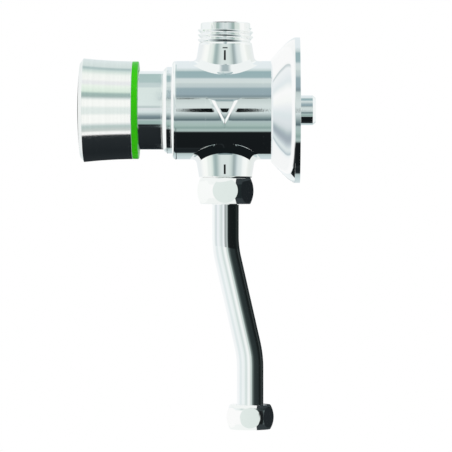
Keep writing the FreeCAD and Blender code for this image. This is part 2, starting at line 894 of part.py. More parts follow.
def colour_ring():
    lip_outer = knob_bore_r - hub_fit
    lip_inner = lip_outer - ring_lip_wall
    bore = sleeve_r + ring_bore_gap
    return turned_x([
        (ring_front - ring_lip_length, lip_inner),
        (ring_front - ring_lip_length, lip_outer),
        (ring_front, lip_outer),
        (ring_front, ring_r - ring_edge),
        (ring_front + ring_edge, ring_r),
        (ring_rear - ring_edge, ring_r),
        (ring_rear, ring_r - ring_edge),
        (ring_rear, bore),
        (ring_front, bore),
        (ring_front, lip_inner),
    ])


# Flush tube and its two unions

def tube_path(top, bottom):
    """Straight runs joined by tangent arcs, from the outlet down to the lower end."""
    points = [
        FreeCAD.Vector(neck_x, 0, top),
        FreeCAD.Vector(neck_x, 0, upper_knee),
        FreeCAD.Vector(tube_low_x, 0, lower_knee),
        FreeCAD.Vector(tube_low_x, 0, bottom),
    ]
    edges = []
    last = points[0]
    for before, knee, after in zip(points, points[1:], points[2:]):
        incoming = (knee - before).normalize()
        outgoing = (after - knee).normalize()
        turn = incoming.getAngle(outgoing)
        setback = tube_bend_r * math.tan(turn / 2)
        start = knee - incoming * setback
        end = knee + outgoing * setback
        inward = (outgoing - incoming).normalize()
        middle = knee + inward * (tube_bend_r / math.cos(turn / 2) - tube_bend_r)
        edges.append(Part.LineSegment(last, start).toShape())
        edges.append(Part.Arc(start, middle, end).toShape())
        last = end
    edges.append(Part.LineSegment(last, points[-1]).toShape())
    return Part.Wire(edges)


def swept_tube(radius, top, bottom):
    circle = Part.Circle(FreeCAD.Vector(neck_x, 0, top), Z_AXIS, radius).toShape()
    return tube_path(top, bottom).makePipeShell([Part.Wire(circle)], True, False)


def flush_tube():
    upper_flange = rod_z(tube_flange_bottom, gasket_bottom, union_flange_r, neck_x)
    lower_flange = rod_z(tube_end, lower_flange_top, lower_flange_r, tube_low_x)
    outside = swept_tube(tube_r, gasket_bottom, tube_end)
    inside = swept_tube(tube_bore_r, gasket_bottom + 1, tube_end - 1)
    return outside.fuse([upper_flange, lower_flange]).removeSplitter().cut(inside)


def ball_nut(axis_x, bottom, height, across_flats, ball_r):
    centre = FreeCAD.Vector(axis_x, 0, bottom + height / 2)
    prism = hexagon(FreeCAD.Vector(axis_x, 0, bottom), across_flats, height, Z_AXIS)
    return prism.common(Part.makeSphere(ball_r, centre))


def upper_union_nut():
    nut = ball_nut(neck_x, upper_nut_bottom, upper_nut_height, upper_nut_flats, upper_nut_ball_r)
    thread_bore = rod_z(slip_ring_bottom, upper_nut_top + 1, outlet_thread_r + union_inner_fit, neck_x)
    tube_hole = rod_z(upper_nut_bottom - 1, slip_ring_bottom, tube_r + upper_nut_hole_fit, neck_x)
    return nut.cut([thread_bore, tube_hole])


def lower_union_nut():
    nut = ball_nut(tube_low_x, lower_nut_bottom, lower_nut_height, lower_nut_flats, lower_nut_ball_r)
    relief_r = lower_thread_r + lower_relief_step
    relief = rod_z(lower_gasket_bottom, lower_nut_seat, relief_r, tube_low_x)
    thread_bore = rod_z(lower_nut_bottom - 1, lower_gasket_bottom, lower_thread_r, tube_low_x)
    tube_hole = rod_z(lower_nut_seat, lower_nut_top + 1, tube_r + upper_nut_hole_fit, tube_low_x)
    mouth = Part.makeCone(
        lower_thread_r + mouth_chamfer, lower_thread_r, mouth_chamfer,
        FreeCAD.Vector(tube_low_x, 0, lower_nut_bottom), Z_AXIS)
    return nut.cut([relief, thread_bore, tube_hole, mouth])


def upper_gasket():
    return washer_z(gasket_bottom, -outlet_reach, union_flange_r, tube_r, neck_x)


def upper_slip_ring():
    return washer_z(slip_ring_bottom, tube_flange_bottom, union_flange_r, slip_bore_r, neck_x)


def lower_slip_ring():
    outer = lower_thread_r - lower_slip_fit
    return washer_z(lower_flange_top, lower_nut_seat, outer, slip_bore_r, tube_low_x)


def lower_gasket():
    return washer_z(lower_gasket_bottom, tube_end, lower_flange_r, tube_bore_r, tube_low_x)


def inlet_strainer():
    """A thimble of thin sheet with slots in its wall and small holes in its floor."""
    mouth = inlet_height - inlet_bore_depth
    flange_bottom = mouth - strainer_flange_t
    cup_floor = flange_bottom - strainer_cup_length
    cup_bore_r = strainer_cup_r - strainer_wall
    cup = turned_z([
        (mouth, cup_bore_r),
        (mouth, strainer_flange_r - seat_fit),
        (flange_bottom, strainer_flange_r - seat_fit),
        (flange_bottom, strainer_cup_r),
        (cup_floor, strainer_cup_r),
        (cup_floor, 0),
        (cup_floor + strainer_wall, 0),
        (cup_floor + strainer_wall, cup_bore_r),
    ], neck_x)
    tools = []
    slot_bottom = cup_floor + (strainer_cup_length - strainer_slot_length) / 2
    for k in range(strainer_slots):
        slot = Part.makeBox(
            strainer_cup_r, strainer_slot_width, strainer_slot_length,
            FreeCAD.Vector(neck_x + cup_bore_r / 2, -strainer_slot_width / 2, slot_bottom))
        slot.rotate(at_x(neck_x), Z_AXIS, 360 * k / strainer_slots)
        tools.append(slot)
    for k in range(strainer_floor_holes):
        angle = math.radians(360 * k / strainer_floor_holes)
        x = neck_x + strainer_hole_ring_r * math.cos(angle)
        y = strainer_hole_ring_r * math.sin(angle)
        start = FreeCAD.Vector(x, y, cup_floor - 1)
        tools.append(Part.makeCylinder(strainer_hole_r, strainer_wall + 2, start, Z_AXIS))
    return cup.cut(tools)


sub_parts = [
    valve_body, wall_spigot, wall_rosette, rosette_o_ring, head_sleeve, head_o_ring, stem_o_ring,
    stem_bush, bush_circlip, cartridge_housing, housing_o_ring, seat_ring, inlet_strainer,
    valve_stem, piston, lip_seal, stem_spacer, seat_washer, disc_holder, lock_nut, spring_cap,
    return_spring, knob_clip, knob_shell, knob_hub, colour_ring, flush_tube, upper_gasket,
    lower_gasket, upper_slip_ring, upper_union_nut, lower_slip_ring, lower_union_nut,
]

os.makedirs("parts", exist_ok=True)
for make in sub_parts:
    shape = make()
    box = shape.BoundBox
    print(make.__name__, "solids", len(shape.Solids), "valid", shape.isValid(),
          "volume", round(shape.Volume, 1), "x", round(box.XMin, 2), round(box.XMax, 2),
          "z", round(box.ZMin, 2), round(box.ZMax, 2))
    shape.exportStep("parts/" + make.__name__ + ".step")
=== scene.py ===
# %% [markdown]
# # A self-closing urinal flush valve, dressed for its picture
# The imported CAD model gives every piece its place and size. This file gives the visible pieces
# smooth, dense surfaces and real finishes: polished chrome, a finely turned knob, a green ring,
# a bent tube and two ball-shaped union nuts. Sizes here are in millimetres and repeat the
# part's own drawing. Blender works in metres, so each mesh is scaled once, when it is made.

# %% Start from the frame
import math

import bmesh
import bpy
import numpy as np
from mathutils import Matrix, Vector


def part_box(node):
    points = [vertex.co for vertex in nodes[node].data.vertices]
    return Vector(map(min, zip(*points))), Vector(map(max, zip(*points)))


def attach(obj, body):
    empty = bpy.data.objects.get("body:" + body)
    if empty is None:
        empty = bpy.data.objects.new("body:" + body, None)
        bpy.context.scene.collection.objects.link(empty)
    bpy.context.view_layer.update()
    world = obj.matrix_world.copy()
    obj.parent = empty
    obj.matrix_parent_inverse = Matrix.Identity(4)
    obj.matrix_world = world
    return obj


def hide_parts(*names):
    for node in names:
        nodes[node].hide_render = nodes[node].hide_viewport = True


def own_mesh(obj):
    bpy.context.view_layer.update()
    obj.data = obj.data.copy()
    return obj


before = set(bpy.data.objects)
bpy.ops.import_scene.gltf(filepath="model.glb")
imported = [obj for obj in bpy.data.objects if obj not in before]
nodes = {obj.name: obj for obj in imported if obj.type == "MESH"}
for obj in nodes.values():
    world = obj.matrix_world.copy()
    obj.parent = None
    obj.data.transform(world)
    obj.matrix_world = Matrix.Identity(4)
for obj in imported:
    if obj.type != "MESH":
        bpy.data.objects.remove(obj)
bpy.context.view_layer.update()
MM = 0.001

# %% [markdown]
# ## Reading the main sizes off the frame
# A node's box says where it is, so the main stations are measured and not typed in again.
# The level axis runs along X, with the wall at X = 0 and the knob on the -X side.


# %% Stations along the level axis and heights along the upright one
def low(node, axis):
    """The lowest coordinate of a node along one axis, in millimetres."""
    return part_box(node)[0]["xyz".index(axis)] / MM


def high(node, axis):
    """The highest coordinate of a node along one axis, in millimetres."""
    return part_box(node)[1]["xyz".index(axis)] / MM


body_front, body_rear = low("valve_body", "x"), high("valve_body", "x")
body_r = high("valve_body", "y")
inlet_top = high("valve_body", "z")
neck_x = (low("upper_gasket", "x") + high("upper_gasket", "x")) / 2
tube_low_x = (low("lower_gasket", "x") + high("lower_gasket", "x")) / 2
tube_end = low("flush_tube", "z")
ring_front = high("knob_shell", "x")
ring_rear = high("colour_ring", "x")
knob_front = low("knob_shell", "x")
sleeve_front = low("head_sleeve", "x")
rosette_front, rosette_r = low("wall_rosette", "x"), high("wall_rosette", "z")
print("body", round(body_front, 2), "to", round(body_rear, 2), "radius", round(body_r, 2),
      "upright axis", round(neck_x, 2), "tube's lower axis", round(tube_low_x, 2))

# %% [markdown]
# ## Tools for turned work
# Nearly everything on a valve like this comes off a lathe, so one helper turns an outline
# about an axis. The corners of real turned parts are slightly rounded, and on polished
# metal that narrow round is what draws the bright edge line. Each corner therefore gets its
# own small radius, and a support point close beside it keeps the long faces flat in their
# shading. A screw modifier could do the same, but a mesh made point by point closes neatly
# on the axis and needs no clean-up.


# %% Outlines with rounded corners, and turning them
def rounded(corners, steps=6, support=0.06):
    """Corners are (along, radius, round). Returns the outline's points with arcs at the rounds."""
    points = []
    last = len(corners) - 1
    for i, (a, r, fillet) in enumerate(corners):
        here = np.array([a, r], float)
        if fillet <= 0 or i in (0, last):
            points.append(here)
            continue
        back = np.array(corners[i - 1][:2], float) - here
        on = np.array(corners[i + 1][:2], float) - here
        back_length, on_length = np.linalg.norm(back), np.linalg.norm(on)
        back, on = back / back_length, on / on_length
        half = math.acos(np.clip(back @ on, -1, 1)) / 2
        reach = min(fillet / math.tan(half), 0.48 * back_length, 0.48 * on_length)
        radius = reach * math.tan(half)
        middle = (back + on) / np.linalg.norm(back + on)
        centre = here + middle * radius / math.sin(half)
        start, end = here + back * reach - centre, here + on * reach - centre
        sweep = math.acos(np.clip(start @ end / radius ** 2, -1, 1))
        if back_length > 4 * reach + support:
            points.append(here + back * (reach + support))
        for k in range(steps + 1):
            t = k / steps
            points.append(centre + (start * math.sin((1 - t) * sweep) + end * math.sin(t * sweep))
                          / math.sin(sweep))
        if on_length > 4 * reach + support:
            points.append(here + on * (reach + support))
    return points


def new_piece(name, verts_mm, faces, material, merge_mm=0.0):
    """A mesh object at the origin, with its place in its mesh and smooth shading."""
    mesh = bpy.data.meshes.new(name)
    mesh.from_pydata([tuple(v) for v in np.asarray(verts_mm, float) * MM], [], faces)
    bm = bmesh.new()
    bm.from_mesh(mesh)
    if merge_mm > 0:
        bmesh.ops.remove_doubles(bm, verts=bm.verts, dist=merge_mm * MM)
    bmesh.ops.recalc_face_normals(bm, faces=bm.faces)
    bm.to_mesh(mesh)
    bm.free()
    mesh.polygons.foreach_set("use_smooth", [True] * len(mesh.polygons))
    mesh.materials.append(material)
    obj = bpy.data.objects.new(name, mesh)
    bpy.context.scene.collection.objects.link(obj)
    return obj


def turn(points, turns, axis, centre=0.0):
    """Points and faces of an outline turned about the level axis ("x") or an upright one ("z")."""
    angles = np.arange(turns) * 2 * math.pi / turns
    verts, rings = [], []
    for a, r in points:
        if r < 1e-6:
            rings.append([len(verts)])
            verts.append((a, 0, 0) if axis == "x" else (centre, 0, a))
            continue
        rings.append(list(range(len(verts), len(verts) + turns)))
        for t in angles:
            c, s = r * math.cos(t), r * math.sin(t)
            verts.append((a, -c, s) if axis == "x" else (centre + c, s, a))
    faces = []
    pairs = list(zip(rings, rings[1:]))
    if len(rings[0]) > 1:
        pairs.append((rings[-1], rings[0]))
    for one, two in pairs:
        for k in range(turns):
            n = (k + 1) % turns
            if len(one) == 1 and len(two) == 1:
                continue
            if len(one) == 1:
                faces.append((one[0], two[n], two[k]))
            elif len(two) == 1:
                faces.append((one[k], one[n], two[0]))
            else:
                faces.append((one[k], one[n], two[n], two[k]))
    return verts, faces


def turned(name, corners, material, turns):
    """A piece turned about the level axis from its outline's corners."""
    verts, faces = turn(rounded(corners), turns, "x")
    piece = new_piece(name, verts, faces, material, merge_mm=0.0005)
    print(name, len(piece.data.vertices), "points")
    return piece


# %% [markdown]
# ## Finishes
# Bright chrome is almost a perfect mirror, so its look comes from what it reflects. The
# little that is its own is a faint cool tint, a very low roughness that changes softly
# where the polishing wheel passed, and a ripple of a few hundredths of a millimetre that a
# buffed casting always keeps. All patterns are procedural and read object coordinates.


# %% Helpers for building node materials
def add_node(tree, kind, inputs=None, **settings):
    """A new node. Each of its inputs is given as a value, or as a socket to link from."""
    node = tree.nodes.new(kind)
    for key, value in settings.items():
        setattr(node, key, value)
    for key, value in (inputs or {}).items():
        if isinstance(value, bpy.types.NodeSocket):
            tree.links.new(value, node.inputs[key])
        else:
            node.inputs[key].default_value = value
    return node


def material_with(name):
    """A new material, with its node tree and its shader."""
    mat = bpy.data.materials.new(name)
    mat.use_nodes = True
    return mat, mat.node_tree, mat.node_tree.nodes["Principled BSDF"]


def object_pattern(tree, scale):
    """Object coordinates stretched by a scale for each axis."""
    coords = add_node(tree, "ShaderNodeTexCoord").outputs["Object"]
    return add_node(tree, "ShaderNodeMapping", {"Scale": scale, "Vector": coords}).outputs["Vector"]


def noise(tree, vector, scale, detail=2.0, roughness=0.5):
    return add_node(tree, "ShaderNodeTexNoise", {
        "Scale": scale, "Detail": detail, "Roughness": roughness, "Vector": vector}).outputs["Fac"]


def between(tree, factor, low_value, high_value, from_low=0.3, from_high=0.7):
    """Spreads a pattern from one value to another."""
    return add_node(tree, "ShaderNodeMapRange", {
        "From Min": from_low, "From Max": from_high, "To Min": low_value, "To Max": high_value,
        "Value": factor}).outputs["Result"]


def two_colours(tree, factor, first, second, from_low=0.35, from_high=0.65):
    """Spreads a pattern from one colour to another."""
    ramp = add_node(tree, "ShaderNodeValToRGB", {"Fac": factor})
    for element, at, colour in zip(ramp.color_ramp.elements, (from_low, from_high), (first, second)):
        element.position = at
        element.color = (*colour, 1)
    return ramp.outputs["Color"]


def bump(tree, shader, height, depth_m, before=None):
    """Puts a relief of this depth on the shader, over the relief that came before."""
    inputs = {"Strength": 1.0, "Distance": depth_m, "Height": height}
    if before is not None:
        inputs["Normal"] = before
    normal = add_node(tree, "ShaderNodeBump", inputs).outputs["Normal"]
    tree.links.new(normal, shader.inputs["Normal"])
    return normal


# %% Polished chrome
haze_scale, cloud_scale = 55, 140           # the tint's pattern and the roughness's
skin_scale, skin_m = 2600, 0.0000012        # the finest relief


def polished_chrome(name, tint, shade, rough_low, rough_high, ripple_m, ripple_scale):
    mat, tree, shader = material_with(name)
    shader.inputs["Metallic"].default_value = 1.0
    even = object_pattern(tree, (1, 1, 1))
    tree.links.new(two_colours(tree, noise(tree, even, haze_scale, 3), shade, tint),
                   shader.inputs["Base Color"])
    tree.links.new(between(tree, noise(tree, even, cloud_scale, 4, 0.6), rough_low, rough_high),
                   shader.inputs["Roughness"])
    wave = bump(tree, shader, noise(tree, even, ripple_scale, 1), ripple_m)
    bump(tree, shader, noise(tree, even, skin_scale, 2), skin_m, before=wave)
    return mat


chrome_body = polished_chrome("chrome_body", (0.955, 0.96, 0.955), (0.935, 0.94, 0.935),
                              0.012, 0.03, 0.000008, 60)
chrome_rosette = polished_chrome("chrome_rosette", (0.955, 0.96, 0.96), (0.94, 0.945, 0.945),
                                 0.03, 0.06, 0.000014, 45)
chrome_tube = polished_chrome("chrome_tube", (0.955, 0.96, 0.96), (0.935, 0.94, 0.94),
                              0.02, 0.045, 0.000008, 90)
chrome_nut = polished_chrome("chrome_nut", (0.955, 0.96, 0.955), (0.93, 0.94, 0.93),
                             0.035, 0.075, 0.000006, 120)
plated_spigot = polished_chrome("plated_spigot", (0.93, 0.94, 0.94), (0.90, 0.91, 0.91),
                                0.05, 0.10, 0.00001, 150)
print("polished chrome finishes: 5")

# %% [markdown]
# ## The turned knob
# The knob's side isn't buffed: the lathe tool left rings a fraction of a millimetre apart.
# They run round the axis, so along X a noise that only changes with X gives them. Its slopes
# scatter the light along the axis and leave the bands that run along the knob, which is what
# the photograph shows.


# %% Turned chrome
def turned_chrome(name, tint, shade, rough_low, rough_high, groove_m, fine_scale):
    mat, tree, shader = material_with(name)
    shader.inputs["Metallic"].default_value = 1.0
    rings = object_pattern(tree, (1, 0.004, 0.004))
    coarse = noise(tree, rings, fine_scale * 0.22, 3, 0.6)
    fine = noise(tree, rings, fine_scale, 4, 0.7)
    tree.links.new(two_colours(tree, coarse, shade, tint), shader.inputs["Base Color"])
    tree.links.new(between(tree, fine, rough_low, rough_high), shader.inputs["Roughness"])
    first = bump(tree, shader, coarse, groove_m * 2.0)
    bump(tree, shader, fine, groove_m, before=first)
    return mat


chrome_knob = turned_chrome("chrome_knob", (0.975, 0.975, 0.97), (0.925, 0.93, 0.925),
                            0.07, 0.17, 0.0000025, 3800)
turned_brass = turned_chrome("turned_brass", (0.80, 0.62, 0.30), (0.66, 0.49, 0.22),
                             0.22, 0.34, 0.000004, 2500)
stainless = turned_chrome("stainless", (0.62, 0.62, 0.61), (0.52, 0.52, 0.51),
                          0.20, 0.32, 0.000003, 3000)

# %% [markdown]
# ## Plastic, rubber and fibre
# The ring behind the knob is a glossy moulding: a clear green with a slightly darker mottle. Rubber is
# nearly black and dull, acetal is a milky white with a satin skin, and the gaskets are pressed red
# fibre with visible specks.


# %% Moulded and pressed materials
def moulded(name, light, dark, rough_low, rough_high, grain_m, grain_scale, shine=0.5):
    mat, tree, shader = material_with(name)
    shader.inputs["Specular IOR Level"].default_value = shine
    even = object_pattern(tree, (1, 1, 1))
    mottle = noise(tree, even, grain_scale * 0.12, 4)
    grain = noise(tree, even, grain_scale, 3, 0.6)
    tree.links.new(two_colours(tree, mottle, dark, light), shader.inputs["Base Color"])
    tree.links.new(between(tree, grain, rough_low, rough_high), shader.inputs["Roughness"])
    bump(tree, shader, grain, grain_m)
    return mat


green_ring = moulded("green_ring", (0.040, 0.560, 0.0), (0.030, 0.480, 0.0),
                     0.24, 0.34, 0.000004, 900, shine=0.12)
black_rubber = moulded("black_rubber", (0.024, 0.024, 0.025), (0.014, 0.014, 0.015),
                       0.45, 0.65, 0.00001, 1800)
fibre_gasket = moulded("fibre_gasket", (0.40, 0.10, 0.06), (0.26, 0.06, 0.035),
                       0.6, 0.85, 0.00003, 2600)
white_acetal = moulded("white_acetal", (0.84, 0.84, 0.81), (0.78, 0.78, 0.75),
                       0.3, 0.42, 0.000006, 1200)
grey_plastic = moulded("grey_plastic", (0.30, 0.31, 0.32), (0.22, 0.23, 0.24),
                       0.35, 0.5, 0.000008, 1400)
print("materials:", len(bpy.data.materials))

# %% [markdown]
# ## The valve body
# The real body is a brass casting: a level barrel with an inlet neck on top and an outlet
# neck below, buffed until the joints between them are soft fillets. A boolean would leave a
# hard, badly meshed seam there, which a mirror finish shows at once. Instead the surface is
# written as a rule: a point lies on it where a rounded union of barrel and neck is zero.
# Rows of points run down each neck and out over the barrel, and a few Newton steps pull
# every point onto that rule, so the fillet is exact and the mesh flows round it.

# %% The rule for the outside of the casting
neck_fillet = 1.4
neck_end = 25.2          # height of the necks' ends above and below the axis
inlet_neck_r = (9.97, 11.1)    # at its end and at the barrel's top
outlet_neck_r = (9.97, 11.1)
neck_flare = 1.08        # above 1, so the necks widen faster near the barrel


def neck_radius(height, sizes):
    t = np.maximum(neck_end - height, 0) / (neck_end - body_r)
    widening = np.where(t < 1, t ** neck_flare, 1 + neck_flare * (t - 1))
    return sizes[0] + (sizes[1] - sizes[0]) * widening


def casting(p, sizes):
    """Below zero inside the metal. The neck is taken on the side that z is positive."""
    barrel = np.hypot(p[:, 1], p[:, 2]) - body_r
    neck = np.hypot(p[:, 0] - neck_x, p[:, 1]) - neck_radius(p[:, 2], sizes)
    a = np.maximum(neck_fillet - barrel, 0)
    b = np.maximum(neck_fillet - neck, 0)
    return np.maximum(neck_fillet, np.minimum(barrel, neck)) - np.hypot(a, b)


def onto_casting(p, sizes):
    """Pulls points onto the casting's surface."""
    p = np.array(p, float)
    step = 1e-4
    for _ in range(8):
        value = casting(p, sizes)
        slope = np.stack([(casting(p + d, sizes) - casting(p - d, sizes)) / (2 * step)
                          for d in np.eye(3) * step], axis=1)
        size = np.maximum((slope ** 2).sum(1), 1e-9)
        p -= slope * (value / size)[:, None]
    return p


# %% Rows of points from a neck's end out over the barrel
half_cells = 20                     # cells from the neck's centre line to the patch's edge
patch_cells = 2 * half_cells
patch_x = 14.0                      # half the patch's length along the barrel
patch_angle = math.radians(48)      # half its angle round the barrel
spokes = 4 * patch_cells


def patch_edge():
    """The square edge of the patch as (u, v) from -1 to 1, one point for each spoke."""
    side = np.linspace(-1, 1, patch_cells + 1)[:-1]
    one = np.ones(patch_cells)
    u = np.concatenate([side, one, -side, -one])
    v = np.concatenate([-one, side, one, -side])
    return u, v


spoke_angles = -0.75 * math.pi + np.arange(spokes) * 2 * math.pi / spokes


def neck_at(height, sizes):
    """Points of the neck's surface, one for each spoke."""
    r = neck_radius(height, sizes)
    return np.stack([neck_x + r * np.cos(spoke_angles), r * np.sin(spoke_angles), height], 1)


def barrel_at(x, angle):
    """Points of the barrel's surface, with the angle counted from straight up."""
    return np.stack([x, body_r * np.sin(angle), body_r * np.cos(angle)], 1)


def neck_rows(sizes, neck_steps=14, fillet_steps=10, barrel_steps=9):
    """Rows of points from the neck's end to the patch's edge, one point for each spoke."""
    s = np.sin(spoke_angles)
    height = np.full(spokes, body_r * 0.9)
    for _ in range(30):
        height = np.sqrt(body_r ** 2 - (neck_radius(height, sizes) * s) ** 2)
    foot = neck_at(height, sizes)
    foot_angle = np.arctan2(foot[:, 1], foot[:, 2])
    between_normals = np.arccos(np.clip(s * np.sin(foot_angle), -1, 1))
    reach = neck_fillet * np.tan(between_normals / 2) * 1.1
    u, v = patch_edge()
    edge_x, edge_angle = neck_x + patch_x * u, patch_angle * v

    def towards_edge(share):
        return barrel_at(foot[:, 0] + (edge_x - foot[:, 0]) * share,
                         foot_angle + (edge_angle - foot_angle) * share)

    rows = [neck_at(neck_end + (height + reach - neck_end) * k / neck_steps, sizes)
            for k in range(neck_steps)]
    share = reach / np.hypot(edge_x - foot[:, 0], body_r * (edge_angle - foot_angle))
    on_neck, on_barrel = neck_at(height + reach, sizes), towards_edge(share)
    for t in np.arange(fillet_steps) / fillet_steps:
        rows.append((1 - t) ** 2 * on_neck + 2 * t * (1 - t) * foot + t ** 2 * on_barrel)
    rows += [towards_edge(share + (1 - share) * k / barrel_steps) for k in range(barrel_steps)]
    rows = [onto_casting(row, sizes) for row in rows]
    rows[0][:, 2] = neck_end
    return rows + [barrel_at(edge_x, edge_angle)]


# %% [markdown]
# ## Bores and ends of the casting
# The inlet ends in a plain lead collar above its thread and is bored for the strainer. The
# outlet ends in a smaller threaded spout that the upper union nut normally hides. Front and
# back of the barrel carry the head and the wall stud. Each of these is a turned outline that
# starts on the ring of points where the casting's rows stop, so the whole body is one shell.


# %% Joining the rows, the barrel and the turned ends into one shell
class Shell:
    """Collects points and faces of one mesh."""

    def __init__(self):
        self.verts, self.faces = [], []

    def ring(self, points):
        start = len(self.verts)
        self.verts.extend(tuple(p) for p in points)
        return list(range(start, start + len(points)))

    def skin(self, one, two, wrap=True):
        count = len(one)
        for k in range(count if wrap else count - 1):
            n = (k + 1) % count
            self.faces.append((one[k], one[n], two[n], two[k]))

    def cap(self, ring, point):
        centre = self.ring([point])[0]
        for k in range(len(ring)):
            self.faces.append((ring[k], ring[(k + 1) % len(ring)], centre))

    def add(self, rings, wrap=True):
        made = [self.ring(r) for r in rings]
        for one, two in zip(made, made[1:]):
            self.skin(one, two, wrap)
        return made


def upright_rings(points, flip):
    c, s = np.cos(spoke_angles), np.sin(spoke_angles)
    return [np.stack([neck_x + r * c, r * s, np.full(spokes, z * flip)], 1) for z, r in points]


def level_rings(points, angles):
    return [np.stack([np.full(len(angles), x), r * np.sin(angles), r * np.cos(angles)], 1)
            for x, r in points]


def valve_body():
    shell = Shell()
    for sizes, flip in ((inlet_neck_r, 1), (outlet_neck_r, -1)):
        shell.add([row * (1, 1, flip) for row in neck_rows(sizes)])
    # the barrel between and beside the two patches
    side_cells = round((math.pi - 2 * patch_angle) / (2 * patch_angle / patch_cells))
    top = np.linspace(-patch_angle, patch_angle, patch_cells + 1)
    side = np.linspace(patch_angle, math.pi - patch_angle, side_cells + 1)
    bottom = math.pi + top
    around = np.concatenate([top[:-1], side[:-1], bottom[:-1], (side + math.pi)[:-1]])
    middle_x = neck_x + np.linspace(-patch_x, patch_x, patch_cells + 1)
    for arc in (side, side + math.pi):
        shell.add(level_rings([(x, body_r) for x in middle_x], arc), wrap=False)
    # the front end with the head's hole, and its buffed edge that eases into the barrel
    front = rounded([
        (body_front + 12, 0, 0), (body_front + 12, 13.5, 0), (body_front + 1.6, 13.5, 0),
        (body_front + 1.6, 15.01, 0), (body_front, 15.01, 0.1), (body_front, 15.6, 0)], steps=12)
    for t in np.linspace(0, 1, 41)[1:]:
        u = (1 - math.cos(t * math.pi)) / 2
        eased = 1 - (1 - (1 - u) ** shoulder_power) ** (1 / shoulder_power)
        front.append(np.array([body_front + shoulder * u, body_r - shoulder * eased]))
    front += [np.array([body_front + 3.4, body_r]), np.array([middle_x[0], body_r])]
    # the rear end with the stub's hole
    rear = rounded([
        (middle_x[-1], body_r, 0), (body_rear, body_r, 0.6), (body_rear, 4.05, 0.15),
        (body_rear - 5.5, 4.05, 0), (body_rear - 5.5, 0, 0)], steps=10)
    shell.cap(shell.add(level_rings(front[1:], around))[0], (front[0][0], 0, 0))
    shell.cap(shell.add(level_rings(rear[:-1], around))[-1], (rear[-1][0], 0, 0))
    # the bores of both necks
    inlet = rounded([
        (neck_end, inlet_neck_r[0], 0), (neck_end + 0.35, 9.35, 0.2), (31.0, 9.35, 0),
        (rim_top, 9.348, 0.5), (rim_top, 7.0, 0.25), (29.0, 7.0, 0.05), (29.0, 6.75, 0.05),
        (28.2, 6.75, 0), (28.2, 6.0, 0), (bore_end, 6.0, 0), (bore_end, 0, 0)])
    outlet = rounded([
        (neck_end, outlet_neck_r[0], 0), (neck_end + 0.16, outlet_neck_r[0] - 0.02, 0.05),
        (neck_end + 0.16, 7.45, 0.1), (30.6, 7.45, 0.1),
        (31.0, 7.1, 0.1), (31.0, 4.2, 0.1), (bore_end, 4.2, 0), (bore_end, 0, 0)])
    for points, flip in ((inlet, 1), (outlet, -1)):
        rings = shell.add(upright_rings(points[:-1], flip))
        shell.cap(rings[-1], (neck_x, 0, points[-1][0] * flip))
    return shell


shoulder, shoulder_power = 1.9, 3.2     # the front edge's size, and how square its curve is
rim_top = inlet_top - 0.4               # the dressed edge of the inlet
bore_end = 19.5                         # height of the necks' bores' inner ends
body_shell = valve_body()
body = new_piece("body_shell", body_shell.verts, body_shell.faces, chrome_body, merge_mm=0.002)
print("body shell:", len(body.data.vertices), "points,", len(body.data.polygons), "faces")

# %% [markdown]
# ## The flow mark
# The casting carries a raised triangle on its side that points the way the water runs. Its
# flanks are sloped, its foot runs out softly into the barrel, and it is buffed with the rest,
# so the reflected lines bend round it. The body's own mesh is cut finer there and lifted by
# a height rule, which keeps the mark part of the same skin. It is a plain flow arrow.

# %% Lifting the mark out of the barrel
mark_corners = np.array([(-4.95, 3.10), (4.75, 3.10), (-0.08, -6.35)])
mark_height = 0.42
mark_flanks = (0.50, 0.90, 0.90)    # widths of the sloped sides: the top one is narrow
mark_soften = 0.10
mark_foot = 0.02
mark_foot_length = 0.8
mark_zone = (8.6, 9.2)    # half length along X and half height of the refined zone
zone_fade = 2             # the foot fades out over this width at the zone's border
zone_cuts = 5             # how much finer the zone's cells are cut
same_r = 0.1              # a point this close to the barrel's radius lies on the barrel


def inside_sides(x, z):
    """How far a point lies inside each side of the triangle, negative outside it."""
    sides = []
    centre = mark_corners.mean(0)
    for k in range(3):
        a, b = mark_corners[k], mark_corners[(k + 1) % 3]
        along = (b - a) / np.linalg.norm(b - a)
        inward = np.array([-along[1], along[0]])
        if (centre - a) @ inward < 0:
            inward = -inward
        sides.append((x - a[0]) * inward[0] + (z - a[1]) * inward[1])
    return sides


def soft_min(values, soften):
    """The lowest of several heights, with a small round where two of them cross."""
    values = np.array(values)
    lowest = values.min(0)
    return lowest - soften * np.log(np.exp(-(values - lowest) / soften).sum(0))


def mark_rise(x, z):
    sides = inside_sides(x, z)
    ramps = [side / width for side, width in zip(sides, mark_flanks)]
    level = soft_min(ramps + [np.ones(len(x))], mark_soften)
    body_level = mark_soften * np.logaddexp(0, level / mark_soften)
    nearest = np.array(sides).min(0)
    foot = mark_foot * np.exp(np.minimum(nearest, 0) / mark_foot_length)
    window = (np.clip((mark_zone[0] - np.abs(x)) / zone_fade, 0, 1)
              * np.clip((mark_zone[1] - np.abs(z)) / zone_fade, 0, 1))
    window = window * window * (3 - 2 * window)
    return (foot + mark_height * body_level) * np.where(nearest < 0, window, 1)


bm = bmesh.new()
bm.from_mesh(body.data)
bm.faces.ensure_lookup_table()


def in_zone(co):
    x, z = co.x / MM - neck_x, co.z / MM
    return abs(x) < mark_zone[0] and abs(z) < mark_zone[1] and co.y < -0.6 * body_r * MM


def off_barrel(co):
    return abs(math.hypot(co.y, co.z) / MM - body_r)


